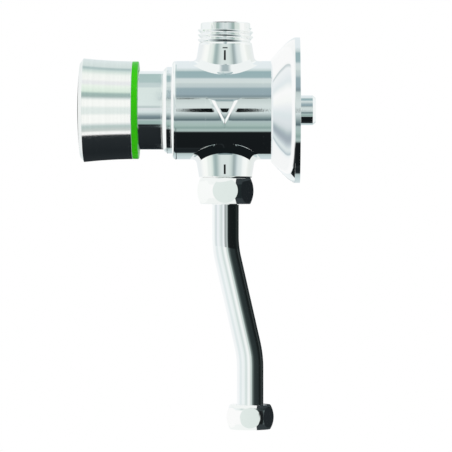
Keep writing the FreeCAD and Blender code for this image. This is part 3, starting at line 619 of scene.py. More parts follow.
zone_faces = [f for f in bm.faces if all(in_zone(v.co) for v in f.verts)
              and off_barrel(f.calc_center_median()) < same_r]
zone_edges = list({e for f in zone_faces for e in f.edges})
bmesh.ops.subdivide_edges(bm, edges=zone_edges, cuts=zone_cuts, use_grid_fill=True)
co = np.array([v.co for v in bm.verts]) / MM
radius = np.hypot(co[:, 1], co[:, 2])
near_mark = ((np.abs(co[:, 0] - neck_x) < mark_zone[0] + 0.5)
             & (np.abs(co[:, 2]) < mark_zone[1] + 0.5) & (co[:, 1] < 0))
picked = near_mark & (np.abs(radius - body_r) < same_r)
lift = body_r + mark_rise(co[:, 0] - neck_x, co[:, 2])
bm.verts.ensure_lookup_table()
for k in np.nonzero(picked)[0]:
    scale = lift[k] / radius[k]
    bm.verts[k].co.y *= scale
    bm.verts[k].co.z *= scale
bm.to_mesh(body.data)
bm.free()
body.data.polygons.foreach_set("use_smooth", [True] * len(body.data.polygons))
# away from the mark the barrel is a true cylinder, so its normals point straight out
normals = np.array([v.normal for v in body.data.vertices])
co = np.array([v.co for v in body.data.vertices]) / MM
radius = np.hypot(co[:, 1], co[:, 2])
on_barrel = ((np.abs(radius - body_r) < 0.003) & (co[:, 0] > body_front + 3.3)
             & (co[:, 0] < body_rear - 0.7))
straight_out = np.stack([np.zeros(len(co)), co[:, 1] / radius, co[:, 2] / radius], 1)
normals[on_barrel] = straight_out[on_barrel]
body.data.normals_split_custom_set_from_vertices([tuple(n) for n in normals])
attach(body, "valve")
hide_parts("valve_body")
print("flow mark:", len(zone_faces), "cells refined, body now", len(body.data.polygons), "faces")

# %% [markdown]
# ## The pipe threads
# A thread is one ridge that follows a helix, which is just what Geometry Nodes are for: a
# spiral curve, a small profile swept along it, and a radius that shrinks to nothing at both
# ends so that the ridge runs out the way a cut thread does. Real pipe thread has a 55 degree
# form with narrow crests. The same tree makes the inlet's thread, the outlet's and, with
# another profile, the return spring.


# %% A node tree that sweeps a profile along a helix
def tree_with_inputs(name, sockets):
    """A new geometry node group, with the sockets of its inputs and its output node."""
    tree = bpy.data.node_groups.new(name, "GeometryNodeTree")
    tree.interface.new_socket("Geometry", in_out="OUTPUT", socket_type="NodeSocketGeometry")
    for label, kind, value in sockets:
        socket = tree.interface.new_socket(label, in_out="INPUT", socket_type="NodeSocket" + kind)
        if value is not None:
            socket.default_value = value
    return tree, tree.nodes.new("NodeGroupInput").outputs, tree.nodes.new("NodeGroupOutput")


def finish_tree(tree, geometry, material, out):
    """Makes the geometry real, gives it its material and leads it to the group's output."""
    real = add_node(tree, "GeometryNodeRealizeInstances", {"Geometry": geometry})
    finish = add_node(tree, "GeometryNodeSetMaterial", {
        "Geometry": real.outputs["Geometry"], "Material": material})
    tree.links.new(finish.outputs["Geometry"], out.inputs["Geometry"])


def made_by_nodes(name, tree, values):
    """Runs a node tree on an empty mesh and keeps the result as a plain mesh."""
    holder = bpy.data.objects.new(name + "_maker", bpy.data.meshes.new(name + "_maker"))
    bpy.context.scene.collection.objects.link(holder)
    modifier = holder.modifiers.new("maker", "NODES")
    modifier.node_group = tree
    for item in tree.interface.items_tree:
        if item.item_type == "SOCKET" and item.in_out == "INPUT" and item.name in values:
            modifier[item.identifier] = values[item.name]
    holder.update_tag()
    evaluated = holder.evaluated_get(bpy.context.evaluated_depsgraph_get())
    mesh = bpy.data.meshes.new_from_object(evaluated)
    bpy.data.objects.remove(holder)
    mesh.name = name
    piece = bpy.data.objects.new(name, mesh)
    bpy.context.scene.collection.objects.link(piece)
    print(name, len(mesh.vertices), "points from nodes")
    return piece


def helix_tree():
    tree, given, out = tree_with_inputs("helix_sweep", [
        ("Turns", "Float", 3.0), ("Steps per turn", "Int", 96), ("Radius", "Float", 0.01),
        ("Height", "Float", 0.01), ("Profile width", "Float", 0.001),
        ("Crest width", "Float", 0.0003), ("Profile depth", "Float", 0.001),
        ("Crest round", "Float", 0.0002),
        ("Round", "Bool", False), ("Run-out", "Float", 0.1), ("Centre", "Vector", None),
        ("Turned by", "Vector", None), ("Material", "Material", None)])
    spiral = add_node(tree, "GeometryNodeCurveSpiral", {
        "Resolution": given["Steps per turn"], "Rotations": given["Turns"],
        "Start Radius": given["Radius"], "End Radius": given["Radius"], "Height": given["Height"]})
    upright = add_node(tree, "GeometryNodeSetCurveNormal", {"Curve": spiral.outputs["Curve"]},
                       mode="Z_UP")
    # the run-out: the profile's size over the curve's length
    along = add_node(tree, "GeometryNodeSplineParameter").outputs["Factor"]
    away = add_node(tree, "ShaderNodeMath", {0: 1.0, 1: along}, operation="SUBTRACT")
    nearest = add_node(tree, "ShaderNodeMath", {0: along, 1: away.outputs[0]}, operation="MINIMUM")
    grow = add_node(tree, "ShaderNodeMapRange", {
        "Value": nearest.outputs[0], "From Max": given["Run-out"], "To Min": 0.02},
        interpolation_type="SMOOTHSTEP").outputs["Result"]
    thick = add_node(tree, "GeometryNodeSetCurveRadius", {
        "Curve": upright.outputs["Curve"], "Radius": grow})
    # two profiles: a trapezoid for a thread and a circle for spring wire
    trapezoid = add_node(tree, "GeometryNodeCurvePrimitiveQuadrilateral", {
        "Height": given["Profile depth"], "Bottom Width": given["Profile width"],
        "Top Width": given["Crest width"], "Offset": 0.0}, mode="TRAPEZOID")
    half = add_node(tree, "ShaderNodeMath", {0: given["Profile width"], 1: 0.5}, operation="MULTIPLY")
    circle = add_node(tree, "GeometryNodeCurvePrimitiveCircle", {
        "Resolution": 14, "Radius": half.outputs[0]})
    rounding = add_node(tree, "GeometryNodeFilletCurve", {
        "Count": 5, "Curve": trapezoid.outputs["Curve"], "Radius": given["Crest round"]}, mode="POLY")
    choose = add_node(tree, "GeometryNodeSwitch", {
        "Switch": given["Round"], "False": rounding.outputs["Curve"], "True": circle.outputs["Curve"]},
        input_type="GEOMETRY")
    sweep = add_node(tree, "GeometryNodeCurveToMesh", {
        "Fill Caps": True, "Curve": thick.outputs["Curve"], "Profile Curve": choose.outputs["Output"]})
    if "Scale" in sweep.inputs:
        tree.links.new(grow, sweep.inputs["Scale"])
    place = add_node(tree, "GeometryNodeTransform", {
        "Geometry": sweep.outputs["Mesh"], "Translation": given["Centre"],
        "Rotation": given["Turned by"]})
    finish_tree(tree, place.outputs["Geometry"], given["Material"], out)
    return tree


helix_sweep = helix_tree()

# %% Both pipe threads
inlet_turns, inlet_pitch = 3.1, 1.814
outlet_turns, outlet_pitch = 3.4, 1.337
inlet_thread = made_by_nodes("inlet_thread", helix_sweep, {
    "Turns": inlet_turns, "Steps per turn": 128, "Radius": 9.5 * MM,
    "Height": inlet_turns * inlet_pitch * MM, "Profile width": 2.42 * MM, "Crest width": 0.25 * MM,
    "Profile depth": 1.25 * MM, "Crest round": 0.22 * MM, "Run-out": 0.07,
    "Centre": (neck_x * MM, 0, 25.3 * MM), "Material": chrome_body})
outlet_thread = made_by_nodes("outlet_thread", helix_sweep, {
    "Turns": outlet_turns, "Steps per turn": 96, "Radius": 7.5 * MM,
    "Height": outlet_turns * outlet_pitch * MM, "Profile width": 1.27 * MM, "Crest width": 0.4 * MM,
    "Profile depth": 1.6 * MM, "Crest round": 0.18 * MM, "Run-out": 0.06,
    "Centre": (neck_x * MM, 0, (-25.8 - outlet_turns * outlet_pitch) * MM),
    "Material": chrome_body})
for piece in (inlet_thread, outlet_thread):
    box = np.array([v.co for v in piece.data.vertices]) / MM
    print(piece.name, "radius", round(float(np.hypot(box[:, 0] - neck_x, box[:, 1]).max()), 3),
          "z", round(float(box[:, 2].min()), 2), round(float(box[:, 2].max()), 2))
    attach(piece, "valve")

# %% [markdown]
# ## The wall rosette
# The rosette is a pressed dish that slides on the body and covers the pipe's hole. Its flare
# is nearly straight by the hub and eases off towards the rim, so the slope is written as a
# rule and added up to give the outline. The rim is a narrow straight band that lies on the
# wall, and the dish is thin and open at the back.

# %% Turning the rosette
lip_r = 19.2
flare_slope = 1.045         # radius gained for each millimetre, by the hub
flare_rim_slope = 0.46
flare_start = rosette_front + 0.5
flare_easing = -6.2         # from here on the slope falls
rim_width = 2.0


def flare_radius(x):
    """The flare's radius, from adding up its slope."""
    grid = np.linspace(flare_start, -rim_width, 200)
    slope = np.where(grid < flare_easing, flare_slope,
                     flare_slope + (flare_rim_slope - flare_slope) * (grid - flare_easing)
                     / (-rim_width - flare_easing))
    rise = np.concatenate([[0], np.cumsum((slope[1:] + slope[:-1]) / 2 * np.diff(grid))])
    first = rosette_r - rise[-1]
    return np.interp(x, grid, first + rise)


flare_x = np.linspace(flare_start, -rim_width, 40)
flare_points = [(x, float(flare_radius(x))) for x in flare_x]
print("flare from", [round(v, 2) for v in flare_points[0]],
      "to", [round(v, 2) for v in flare_points[-1]])
hub_outline = rounded([
    (rosette_front + 5.5, 18.65, 0), (rosette_front, 18.65, 0.12), (rosette_front, lip_r, 0.18),
    (*flare_points[0], 0)])
rim_outline = rounded([
    (*flare_points[-2], 0), (*flare_points[-1], 0.30), (0, rosette_r, 0.12), (0, rosette_r - 1.0, 0.12),
    (-rim_width, rosette_r - 1.15, 0)])
inner_outline = [np.array([x + 0.35, r - 0.95]) for x, r in reversed(flare_points[8:-1])]
rosette_outline = (hub_outline + [np.array(p) for p in flare_points[1:-1]] + rim_outline[1:]
                   + inner_outline + [np.array([rosette_front + 5.5, 20.6])])
verts, faces = turn(rosette_outline, 288, "x")
rosette = new_piece("rosette_dish", verts, faces, chrome_rosette, merge_mm=0.0005)
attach(rosette, "rosette")
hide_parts("wall_rosette")
print("rosette:", len(rosette.data.polygons), "faces")

# %% [markdown]
# ## Head, sleeve and wall stub
# The head screws into the body and shows a step ring, a bevelled collar and the long sleeve
# that the knob slides over. Behind the body a short round stub with a broad chamfer enters
# the wall; two flats on its collar take a spanner, and a screw hole runs into its end.

# %% Turning the head and the stub
step_r, sleeve_r, sleeve_bore = 16.35, 14.8, 12.6
head = turned("head_turning", [
    (-57.7, 4.2, 0), (-57.7, sleeve_bore, 0.3), (sleeve_front, sleeve_bore, 0.2),
    (sleeve_front, sleeve_r, 0.5), (-51.5, sleeve_r, 0.10), (-51.1, sleeve_r + 0.75, 0.5),
    (-50.1, step_r, 0.45), (body_front, step_r, 0.10), (body_front, 13.45, 0), (-39.5, 13.45, 0),
    (-39.5, 10.8, 0), (-49.9, 10.8, 0), (-49.9, 4.2, 0)], chrome_body, 288)
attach(head, "valve")
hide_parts("head_sleeve")

stub = turned("wall_stub", [
    (-10.4, 0, 0), (-10.4, 4.0, 0.4), (-5.0, 4.0, 0), (-5.0, 6.5, 0), (-1.6, 6.5, 0.1),
    (-1.6, 5.6, 0.08), (4.8, 5.6, 0.08), (5.9, 4.72, 0.12), (5.9, 2.5, 0.2), (-4.0, 2.5, 0.1),
    (-4.0, 0, 0)], plated_spigot, 192)
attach(stub, "valve")
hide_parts("wall_spigot")

# %% [markdown]
# ## Knob and colour ring
# The knob is a deep turned cap. Its side is waisted: it widens slowly to the front, where a
# flat bevel leads to a slightly domed face. The crisp edges of that bevel are what the eye
# reads, so they get only a tenth of a millimetre of round. The green ring closes the knob's
# back and leaves a narrow dark gap round the sleeve.

# %% Turning the knob
knob_r_front, knob_r_waist, knob_r_rear = 19.55, 18.73, 18.43
waist_at = 0.55         # where the waist lies, as a share of the side's length
bevel_x = -81.45
face_edge_x, face_edge_r = -82.75, 17.9
crown_r = (face_edge_r ** 2 + (face_edge_x - knob_front) ** 2) / (2 * (face_edge_x - knob_front))


def waist_radius(x):
    """A parabola through the front, the waist and the rear of the knob's side."""
    t, w = (x - bevel_x) / (ring_front - bevel_x), waist_at
    return (knob_r_front * (1 - t) * (w - t) / w + knob_r_waist * t * (1 - t) / (w * (1 - w))
            + knob_r_rear * t * (t - w) / (1 - w))


seam_x = ring_front + 0.25
side = [(float(x), float(waist_radius(x)), 0) for x in np.linspace(bevel_x + 0.3, seam_x - 0.3, 30)]
crown = [(float(knob_front + crown_r - math.sqrt(crown_r ** 2 - r ** 2)), float(r), 0)
         for r in np.linspace(0, face_edge_r - 0.4, 18)]
knob = turned("knob_cap", crown + [
    (face_edge_x, face_edge_r, 0.12), (bevel_x, knob_r_front, 0.12)] + side + [
    (seam_x, knob_r_rear, 0.12), (seam_x, 17.2, 0), (knob_front + 1.8, 17.2, 0),
    (knob_front + 1.8, 0, 0)], chrome_knob, 288)
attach(knob, "button")
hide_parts("knob_shell")

ring = turned("green_band", [
    (ring_front - 3.0, 15.75, 0), (ring_front - 3.0, 17.1, 0), (seam_x, 17.1, 0),
    (seam_x, 18.4, 0.15), (ring_rear, 18.4, 0.2), (ring_rear, 15.15, 0.15),
    (ring_front, 15.15, 0), (ring_front, 15.75, 0)], green_ring, 288)
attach(ring, "button")
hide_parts("colour_ring")

# %% [markdown]
# ## The flush tube
# A straight tube is bent twice by hand over a former, so its centre line is straight runs
# joined by round bends. Nodes say exactly that: a poly line, a Fillet Curve with the bend's
# radius, and a circle swept along it, once for the outside and once for the bore. The two
# flanges that the nuts pull on are turned rings.

# %% The tube from its centre line
knee_high, knee_low = -51.9, -92.8
bend_r = 40.0
tube_r, tube_bore_r = 5.0, 4.2


def tube_tree():
    tree, given, out = tree_with_inputs("bent_tube", [
        ("Top", "Vector", None), ("Upper knee", "Vector", None), ("Lower knee", "Vector", None),
        ("End", "Vector", None), ("Bend radius", "Float", 0.04), ("Outer radius", "Float", 0.005),
        ("Bore radius", "Float", 0.004), ("Material", "Material", None)])
    corners = {"Point %d" % (k + 1): given[label]
               for k, label in enumerate(("Top", "Upper knee", "Lower knee", "End"))}
    points = add_node(tree, "GeometryNodeCurvePrimitiveQuadrilateral", corners, mode="POINTS")
    opened = add_node(tree, "GeometryNodeSetSplineCyclic", {
        "Cyclic": False, "Geometry": points.outputs["Curve"]})
    bent = add_node(tree, "GeometryNodeFilletCurve", {
        "Count": 40, "Curve": opened.outputs["Geometry"], "Radius": given["Bend radius"]}, mode="POLY")
    walls = tree.nodes.new("GeometryNodeJoinGeometry")
    for label, inside in (("Outer radius", False), ("Bore radius", True)):
        circle = add_node(tree, "GeometryNodeCurvePrimitiveCircle", {
            "Resolution": 96, "Radius": given[label]})
        mesh = add_node(tree, "GeometryNodeCurveToMesh", {
            "Curve": bent.outputs["Curve"], "Profile Curve": circle.outputs["Curve"]}).outputs["Mesh"]
        if inside:
            mesh = add_node(tree, "GeometryNodeFlipFaces", {"Mesh": mesh}).outputs["Mesh"]
        tree.links.new(mesh, walls.inputs["Geometry"])
    finish_tree(tree, walls.outputs["Geometry"], given["Material"], out)
    return tree


tube = made_by_nodes("bent_tube", tube_tree(), {
    "Top": (neck_x * MM, 0, -32.0 * MM), "Upper knee": (neck_x * MM, 0, knee_high * MM),
    "Lower knee": (tube_low_x * MM, 0, knee_low * MM), "End": (tube_low_x * MM, 0, tube_end * MM),
    "Bend radius": bend_r * MM, "Outer radius": tube_r * MM, "Bore radius": tube_bore_r * MM,
    "Material": chrome_tube})
tube_mesh = bmesh.new()
tube_mesh.from_mesh(tube.data)
for x, low_z, high_z, r in ((neck_x, -33.0, -32.0, 7.9), (tube_low_x, tube_end, tube_end + 1.0, 5.6)):
    points, quads = turn(rounded([(low_z, tube_bore_r, 0), (low_z, r, 0.1), (high_z, r, 0.1),
                                  (high_z, tube_bore_r, 0)]), 96, "z", x)
    made = [tube_mesh.verts.new(Vector(p) * MM) for p in points]
    for quad in quads:
        tube_mesh.faces.new([made[i] for i in quad])
tube_mesh.to_mesh(tube.data)
tube_mesh.free()
tube.data.polygons.foreach_set("use_smooth", [True] * len(tube.data.polygons))
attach(tube, "tube")
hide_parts("flush_tube")
print("tube:", len(tube.data.polygons), "faces")

# %% [markdown]
# ## The union nuts
# Each nut starts as a turned ball of brass, and the six spanner flats are milled off it, so
# every flat is a full circle and no edge runs down the corners. The mesh is made the same
# way: a fine ball is cut by six planes and by its two end planes, then bored. A narrow bevel
# along the cut edges catches the light as the real edge does.


# %% A ball with six flats and a stepped bore
def ball_nut(name, x, bottom, height, flats, ball_r, bore, material):
    """A nut at x. Its bore is a stepped hole, as (height, radius) points from the top down."""
    bm = bmesh.new()
    bmesh.ops.create_uvsphere(bm, u_segments=192, v_segments=96, radius=ball_r)
    sides = [(math.sin(math.radians(60 * k)), math.cos(math.radians(60 * k)), 0) for k in range(6)]
    cuts = [(Vector(side), flats / 2) for side in sides]
    cuts += [(Vector((0, 0, way)), height / 2) for way in (1, -1)]
    for normal, distance in cuts:
        geometry = bm.verts[:] + bm.edges[:] + bm.faces[:]
        cut = bmesh.ops.bisect_plane(bm, geom=geometry, dist=1e-5, plane_co=normal * distance,
                                     plane_no=normal, clear_outer=True)
        edges = [e for e in cut["geom_cut"] if isinstance(e, bmesh.types.BMEdge)]
        bmesh.ops.contextual_create(bm, geom=edges)
    bmesh.ops.dissolve_degenerate(bm, dist=0.01, edges=bm.edges)
    bmesh.ops.scale(bm, vec=(MM, MM, MM), verts=bm.verts)
    bmesh.ops.translate(bm, vec=Vector((x, 0, bottom + height / 2)) * MM, verts=bm.verts)
    mesh = bpy.data.meshes.new(name)
    bm.to_mesh(mesh)
    bm.free()
    mesh.materials.append(material)
    nut = bpy.data.objects.new(name, mesh)
    bpy.context.scene.collection.objects.link(nut)
    top, low_end = bottom + height + 1, bottom - 1
    outline = [(top, 0), (top, bore[0][1]), *bore[1:-1], (low_end, bore[-1][1]), (low_end, 0)]
    points, quads = turn([np.array(p, float) for p in outline], 128, "z", x)
    drill = new_piece(name + "_drill", points, quads, material)
    cut = nut.modifiers.new("bore", "BOOLEAN")
    cut.operation = "DIFFERENCE"
    cut.solver = "EXACT"
    cut.object = drill
    edge = nut.modifiers.new("edge", "BEVEL")
    edge.width = 0.13 * MM
    edge.segments = 3
    edge.limit_method = "ANGLE"
    edge.angle_limit = math.radians(20)
    edge.harden_normals = True
    bpy.context.view_layer.update()
    result = bpy.data.meshes.new_from_object(nut.evaluated_get(bpy.context.evaluated_depsgraph_get()))
    nut.modifiers.clear()
    nut.data = result
    bpy.data.objects.remove(drill)
    result.polygons.foreach_set("use_smooth", [True] * len(result.polygons))
    result.set_sharp_from_angle(angle=math.radians(24))
    print(name, len(result.polygons), "faces")
    return nut


upper_nut = ball_nut("upper_ball_nut", neck_x, -35.4, 10.0, 19.0, 10.6, [
    (-25.4, 8.41), (-34.0, 8.41), (-34.0, 5.2), (-35.4, 5.2)], chrome_nut)
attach(upper_nut, "upper_nut")
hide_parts("upper_union_nut")
lower_nut = ball_nut("lower_ball_nut", tube_low_x, -120.3, 9.2, 16.0, 8.9, [
    (-111.1, 5.2), (-112.8, 5.2), (-112.8, 5.97), (-115.6, 5.97), (-115.6, 5.72), (-120.3, 5.72)],
    chrome_nut)
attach(lower_nut, "lower_nut")
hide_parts("lower_union_nut")

# %% [markdown]
# ## The return spring
# Inside the knob a spring of stainless wire pushes the button back out. It is the helix tree again with
# a round profile. The mesh is attached to the plunger's body and keeps its length.

# %% Winding the spring
spring_front, spring_rear = low("return_spring", "x"), high("return_spring", "x")
wire_r, spring_mean_r, spring_turns = 0.6, 9.2, 5.0
spring_length = spring_rear - spring_front - 2 * wire_r
spring = made_by_nodes("spring_coil", helix_sweep, {
    "Turns": spring_turns, "Steps per turn": 72, "Radius": spring_mean_r * MM,
    "Height": spring_length * MM, "Profile width": 2 * wire_r * MM, "Round": True,
    "Run-out": 0.0001, "Centre": ((spring_front + wire_r) * MM, 0, 0),
    "Turned by": (0, math.pi / 2, 0), "Material": stainless})
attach(spring, "plunger")
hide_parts("return_spring")
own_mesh(spring)

# %% [markdown]
# ## Inner pieces
# The seals, the cartridge and the plunger keep their CAD shapes. They are hidden while the
# valve is whole, yet each gets the finish of its real material, so that the part can be
# opened up and still be read.

# %% Finishes for the pieces that keep their CAD shape
inner_finishes = {
    black_rubber: ["rosette_o_ring", "head_o_ring", "stem_o_ring", "housing_o_ring", "lip_seal",
                   "seat_washer"],
    fibre_gasket: ["upper_gasket", "lower_gasket"],
    white_acetal: ["stem_bush", "cartridge_housing", "piston", "spring_cap"],
    grey_plastic: ["knob_hub"],
    turned_brass: ["seat_ring", "stem_spacer", "disc_holder", "lock_nut", "upper_slip_ring",
                   "lower_slip_ring"],
    stainless: ["valve_stem", "knob_clip", "bush_circlip", "inlet_strainer"],
}
for finish, names in inner_finishes.items():
    for name in names:
        nodes[name].data.materials.clear()
        nodes[name].data.materials.append(finish)
dressed_anew = {"valve_body", "wall_rosette", "head_sleeve", "wall_spigot", "knob_shell",
                "colour_ring", "flush_tube", "upper_union_nut", "lower_union_nut", "return_spring"}
covered = {n for names in inner_finishes.values() for n in names} | dressed_anew
print("nodes without a finish:", sorted(set(nodes) - covered))

# %% [markdown]
# ## Studio
# Chrome is photographed in a white tent: long soft boxes overhead and in front, and a dark
# table under the piece, which draws the black band along every barrel. Here the tent is
# painted on the world by the angle of a direction about the valve's level axis, from the
# camera (0) up over the top (90) to the background (180) and down to the dark table (-90).
# Only reflections and bounce light read it. The camera sees plain white behind the valve.

# %% Tones of the studio
chrome_keeps = 0.955        # the share of light that the chrome gives back


def seen(code):
    """The light that makes chrome look like an sRGB colour written as hex."""
    values = [int(code[i:i + 2], 16) / 255 for i in (0, 2, 4)]
    line = [v / 12.92 if v <= 0.04045 else ((v + 0.055) / 1.055) ** 2.4 for v in values]
    return tuple(min(1.0, v / chrome_keeps) for v in line)


def tone_ramp(tree, value, stops, span=360, first=-180):
    """A row of tones along a value that runs over span from first. Stops are (value, tone)."""
    share = add_node(tree, "ShaderNodeMapRange", {
        "From Min": first, "From Max": first + span, "Value": value}).outputs["Result"]
    node = add_node(tree, "ShaderNodeValToRGB", {"Fac": share})
    elements = node.color_ramp.elements
    elements.remove(elements[0])
    for k, (at, code) in enumerate(sorted(stops)):
        element = elements[0] if k == 0 else elements.new((at - first) / span)
        element.position = (at - first) / span
        element.color = (*seen(code), 1)
    return node.outputs["Color"]


class Maths:
    """Short names for the node maths used by the tent and the cards."""

    def __init__(self, tree):
        self.tree = tree

    def do(self, operation, first, second=None):
        inputs = {0: first} if second is None else {0: first, 1: second}
        return add_node(self.tree, "ShaderNodeMath", inputs, operation=operation).outputs[0]

    def times(self, first, second):
        return self.do("MULTIPLY", first, second)

    def minus(self, first, second):
        return self.do("SUBTRACT", first, second)

    def step(self, value, start, end):
        """0 before start, 1 after end and smooth between. Start may lie above end."""
        rises = start <= end
        return add_node(self.tree, "ShaderNodeMapRange", {
            "From Min": min(start, end), "From Max": max(start, end), "To Min": 0.0 if rises else 1.0,
            "To Max": 1.0 if rises else 0.0, "Value": value},
            interpolation_type="SMOOTHSTEP").outputs["Result"]

    def within(self, value, start, end, soft):
        """1 between start and end, with soft edges."""
        return self.times(self.step(value, start - soft, start + soft),
                          self.step(value, end + soft, end - soft))

    def mix(self, factor, first, second):
        """Mixes two colours. A string is a tone."""
        first, second = [(*seen(v), 1) if isinstance(v, str) else v for v in (first, second)]
        return add_node(self.tree, "ShaderNodeMix", {0: factor, 6: first, 7: second},
                        data_type="RGBA").outputs[2]

    def turn(self, up, towards_camera):
        """Degrees from the camera's side towards up."""
        return self.do("DEGREES", self.do("ARCTAN2", up, towards_camera))


# %% The tent, painted on the world
world = bpy.data.worlds.new("tent")
bpy.context.scene.world = world
world.use_nodes = True
sky = world.node_tree
sky.nodes.clear()
m = Maths(sky)
directions = add_node(sky, "ShaderNodeTexCoord").outputs["Generated"]
side_way, depth_way, up_way = add_node(sky, "ShaderNodeSeparateXYZ", {"Vector": directions}).outputs
to_camera = m.times(depth_way, -1.0)
lift = m.turn(up_way, to_camera)
swing = m.do("ABSOLUTE", m.turn(side_way, to_camera))

# long boxes and gaps over the barrel, by the lift angle
barrel_stops = [
    (-180, "e8eef0"), (-165, "ced9dc"), (-142, "c6d5d7"), (-125, "b2c2c2"), (-120.5, "20262a"),
    (-108, "1b2022"), (-103, "24292c"), (-100, "15191b"), (-55, "161a1c"), (-52.8, "93a4a2"),
    (-50, "aec1be"), (-44, "8aa29e"), (-38, "a4bab5"), (-28.2, "a9bbbb"), (-25.3, "56696f"),
    (-18.5, "8a9c9d"), (-7.5, "cdd9d9"), (9, "d3dddc"), (25.5, "bfcccb"), (28.5, "84959a"),
    (31, "82949a"), (35, "92a6ae"), (49.5, "95aab0"), (54.5, "bccacc"), (62.5, "c2cfcf"),
    (66, "d1dcdb"), (76, "cfdadb"), (81, "9ab2b6"), (100, "96b0b4"), (104.5, "c4d3d3"),
    (116.5, "e3ebee"), (180, "e3ebee"),
]
barrel_tone = tone_ramp(sky, lift, barrel_stops)
# the sleeve in front of the barrel sees a calmer part of the tent
sleeve_stops = [
    (-180, "383f42"), (-160, "30383b"), (-150, "1b2023"), (-60, "24292c"), (-53, "262b2e"),
    (-49.5, "30363a"), (-47, "1b2022"), (-45, "252a2e"), (-43, "98b0ad"), (-34, "9cb4b0"),
    (-31, "b0c1c1"), (-29.5, "a8b8ba"), (-27, "66787e"), (-19.5, "7d9096"), (-13.5, "b0c0c1"),
    (-7.5, "d4e1e1"), (3, "dde2e5"), (5, "bbc9c9"), (9.5, "bfcccc"), (12, "d9e5e3"),
    (66.5, "d8e4e1"), (70.5, "c3d2d2"), (84, "c1d1d1"), (89, "adc3c2"), (130, "a9c1bf"),
    (135, "e5edef"), (180, "eef2f4"),
]
sleeve_tone = tone_ramp(sky, lift, sleeve_stops)
on_sleeve = m.times(m.step(side_way, -0.0312, -0.0322), m.step(side_way, -0.060, -0.050))
long_tone = m.mix(on_sleeve, barrel_tone, sleeve_tone)
# two dark lines where the boxes meet
gap_line = m.times(m.within(lift, 23.2, 26.4, 0.5), m.within(side_way, -0.0268, -0.0224, 0.0006))
long_tone = m.mix(gap_line, long_tone, "2a3436")
gap_line = m.times(m.within(lift, 24.4, 26.6, 0.6), m.within(side_way, -0.0050, 0.0040, 0.0012))
long_tone = m.mix(m.times(gap_line, 0.75), long_tone, "5b696a")
# a long dark lens in the middle, where the tent is open, and its short tail by the rosette
lens_side, lens_lift = (-0.0117, 0.0138), (-2.5, 4.5)       # middle and half size
across, along = [m.do("ABSOLUTE", m.do("DIVIDE", m.minus(way, middle), half))
                 for way, (middle, half) in ((side_way, lens_side), (lift, lens_lift))]
lens = m.do("ADD", m.do("POWER", across, 8.0), m.do("POWER", along, 2.0))
long_tone = m.mix(m.step(lens, 1.15, 0.85), long_tone, "101415")
rim_lens = m.times(m.within(lift, -6.0, 0.5, 1.0), m.within(side_way, 0.0143, 0.0164, 0.0005))
long_tone = m.mix(rim_lens, long_tone, "1c2123")

# the tent's side walls: white, with upright grey gaps that the necks show as streaks
wall_stops = [
    (0, "d5dedf"), (8, "d7dfe0"), (18, "c5d2d2"), (27, "b4c4c4"), (31, "9eb2ae"),
    (41, "9db1ad"), (46, "d2dcd8"), (66, "dbe5e0"), (74, "f6f8f7"), (94, "fcfcfb"),
    (101, "f0f3f2"), (136, "edf1f1"), (150, "e6eceb"), (180, "e8eeee"),
]
wall_tone = tone_ramp(sky, swing, wall_stops, 180, 0)
steep = m.step(m.do("ABSOLUTE", up_way), 0.34, 0.60)
wall_tone = m.mix(steep, wall_tone, "f4f8f8")
# the long boxes end soon to the sides, the dark table reaches further
is_low = m.step(up_way, -0.10, -0.35)
reach_high = m.step(m.do("ABSOLUTE", side_way), 0.05, 0.15)
reach_low = m.step(m.do("ABSOLUTE", side_way), 0.38, 0.50)
to_walls = m.do("ADD", m.times(reach_high, m.minus(1.0, is_low)), m.times(reach_low, is_low))
tent = m.mix(to_walls, long_tone, wall_tone)

camera_ray = add_node(sky, "ShaderNodeLightPath").outputs["Is Camera Ray"]
background = add_node(sky, "ShaderNodeBackground", {
    "Strength": 1.0, "Color": m.mix(camera_ray, tent, (1.0, 1.0, 1.0, 1.0))})
add_node(sky, "ShaderNodeOutputWorld", {"Surface": background.outputs["Background"]})
print("tent tones:", len(barrel_stops) + len(sleeve_stops) + len(wall_stops))

# %% [markdown]
# ## Cards close to the piece
# A photographer sets small cards beside shiny parts that the big tent doesn't flatter. The
# knob stands in a short collar of paper, and the rosette looks at a painted disc. The necks,
# the tube and the nuts have narrow collars round them, toned pale in front, white to the left
# and black to the right. The cards show only in reflections, only from their inner side and
# only from close by, so each one serves just the piece that it was made for.


# %% Making a card
camera_x, distance = -17.0, 1070.0      # where the camera will stand
cards = []


def card_material(name, reach_mm, paint, from_mm=0.0):
    """Shines with what paint(maths, x, y, z) gives, to its front and within a reach."""
    mat = bpy.data.materials.new(name)
    mat.use_nodes = True
    tree = mat.node_tree
    tree.nodes.clear()
    mm = Maths(tree)
    if isinstance(paint, str):
        colour = (*seen(paint), 1)
    else:
        place = add_node(tree, "ShaderNodeTexCoord").outputs["Object"]
        colour = paint(mm, *add_node(tree, "ShaderNodeSeparateXYZ", {"Vector": place}).outputs)
    shine = add_node(tree, "ShaderNodeEmission", {"Color": colour})
    clear = add_node(tree, "ShaderNodeBsdfTransparent")
    length = add_node(tree, "ShaderNodeLightPath").outputs["Ray Length"]
    near = mm.times(mm.do("LESS_THAN", length, reach_mm * MM),
                    mm.do("GREATER_THAN", length, from_mm * MM))
    inner = mm.minus(1.0, add_node(tree, "ShaderNodeNewGeometry").outputs["Backfacing"])
    pick = add_node(tree, "ShaderNodeMixShader", {
        0: mm.times(near, inner), 1: clear.outputs["BSDF"], 2: shine.outputs["Emission"]})
    add_node(tree, "ShaderNodeOutputMaterial", {"Surface": pick.outputs["Shader"]})
    return mat


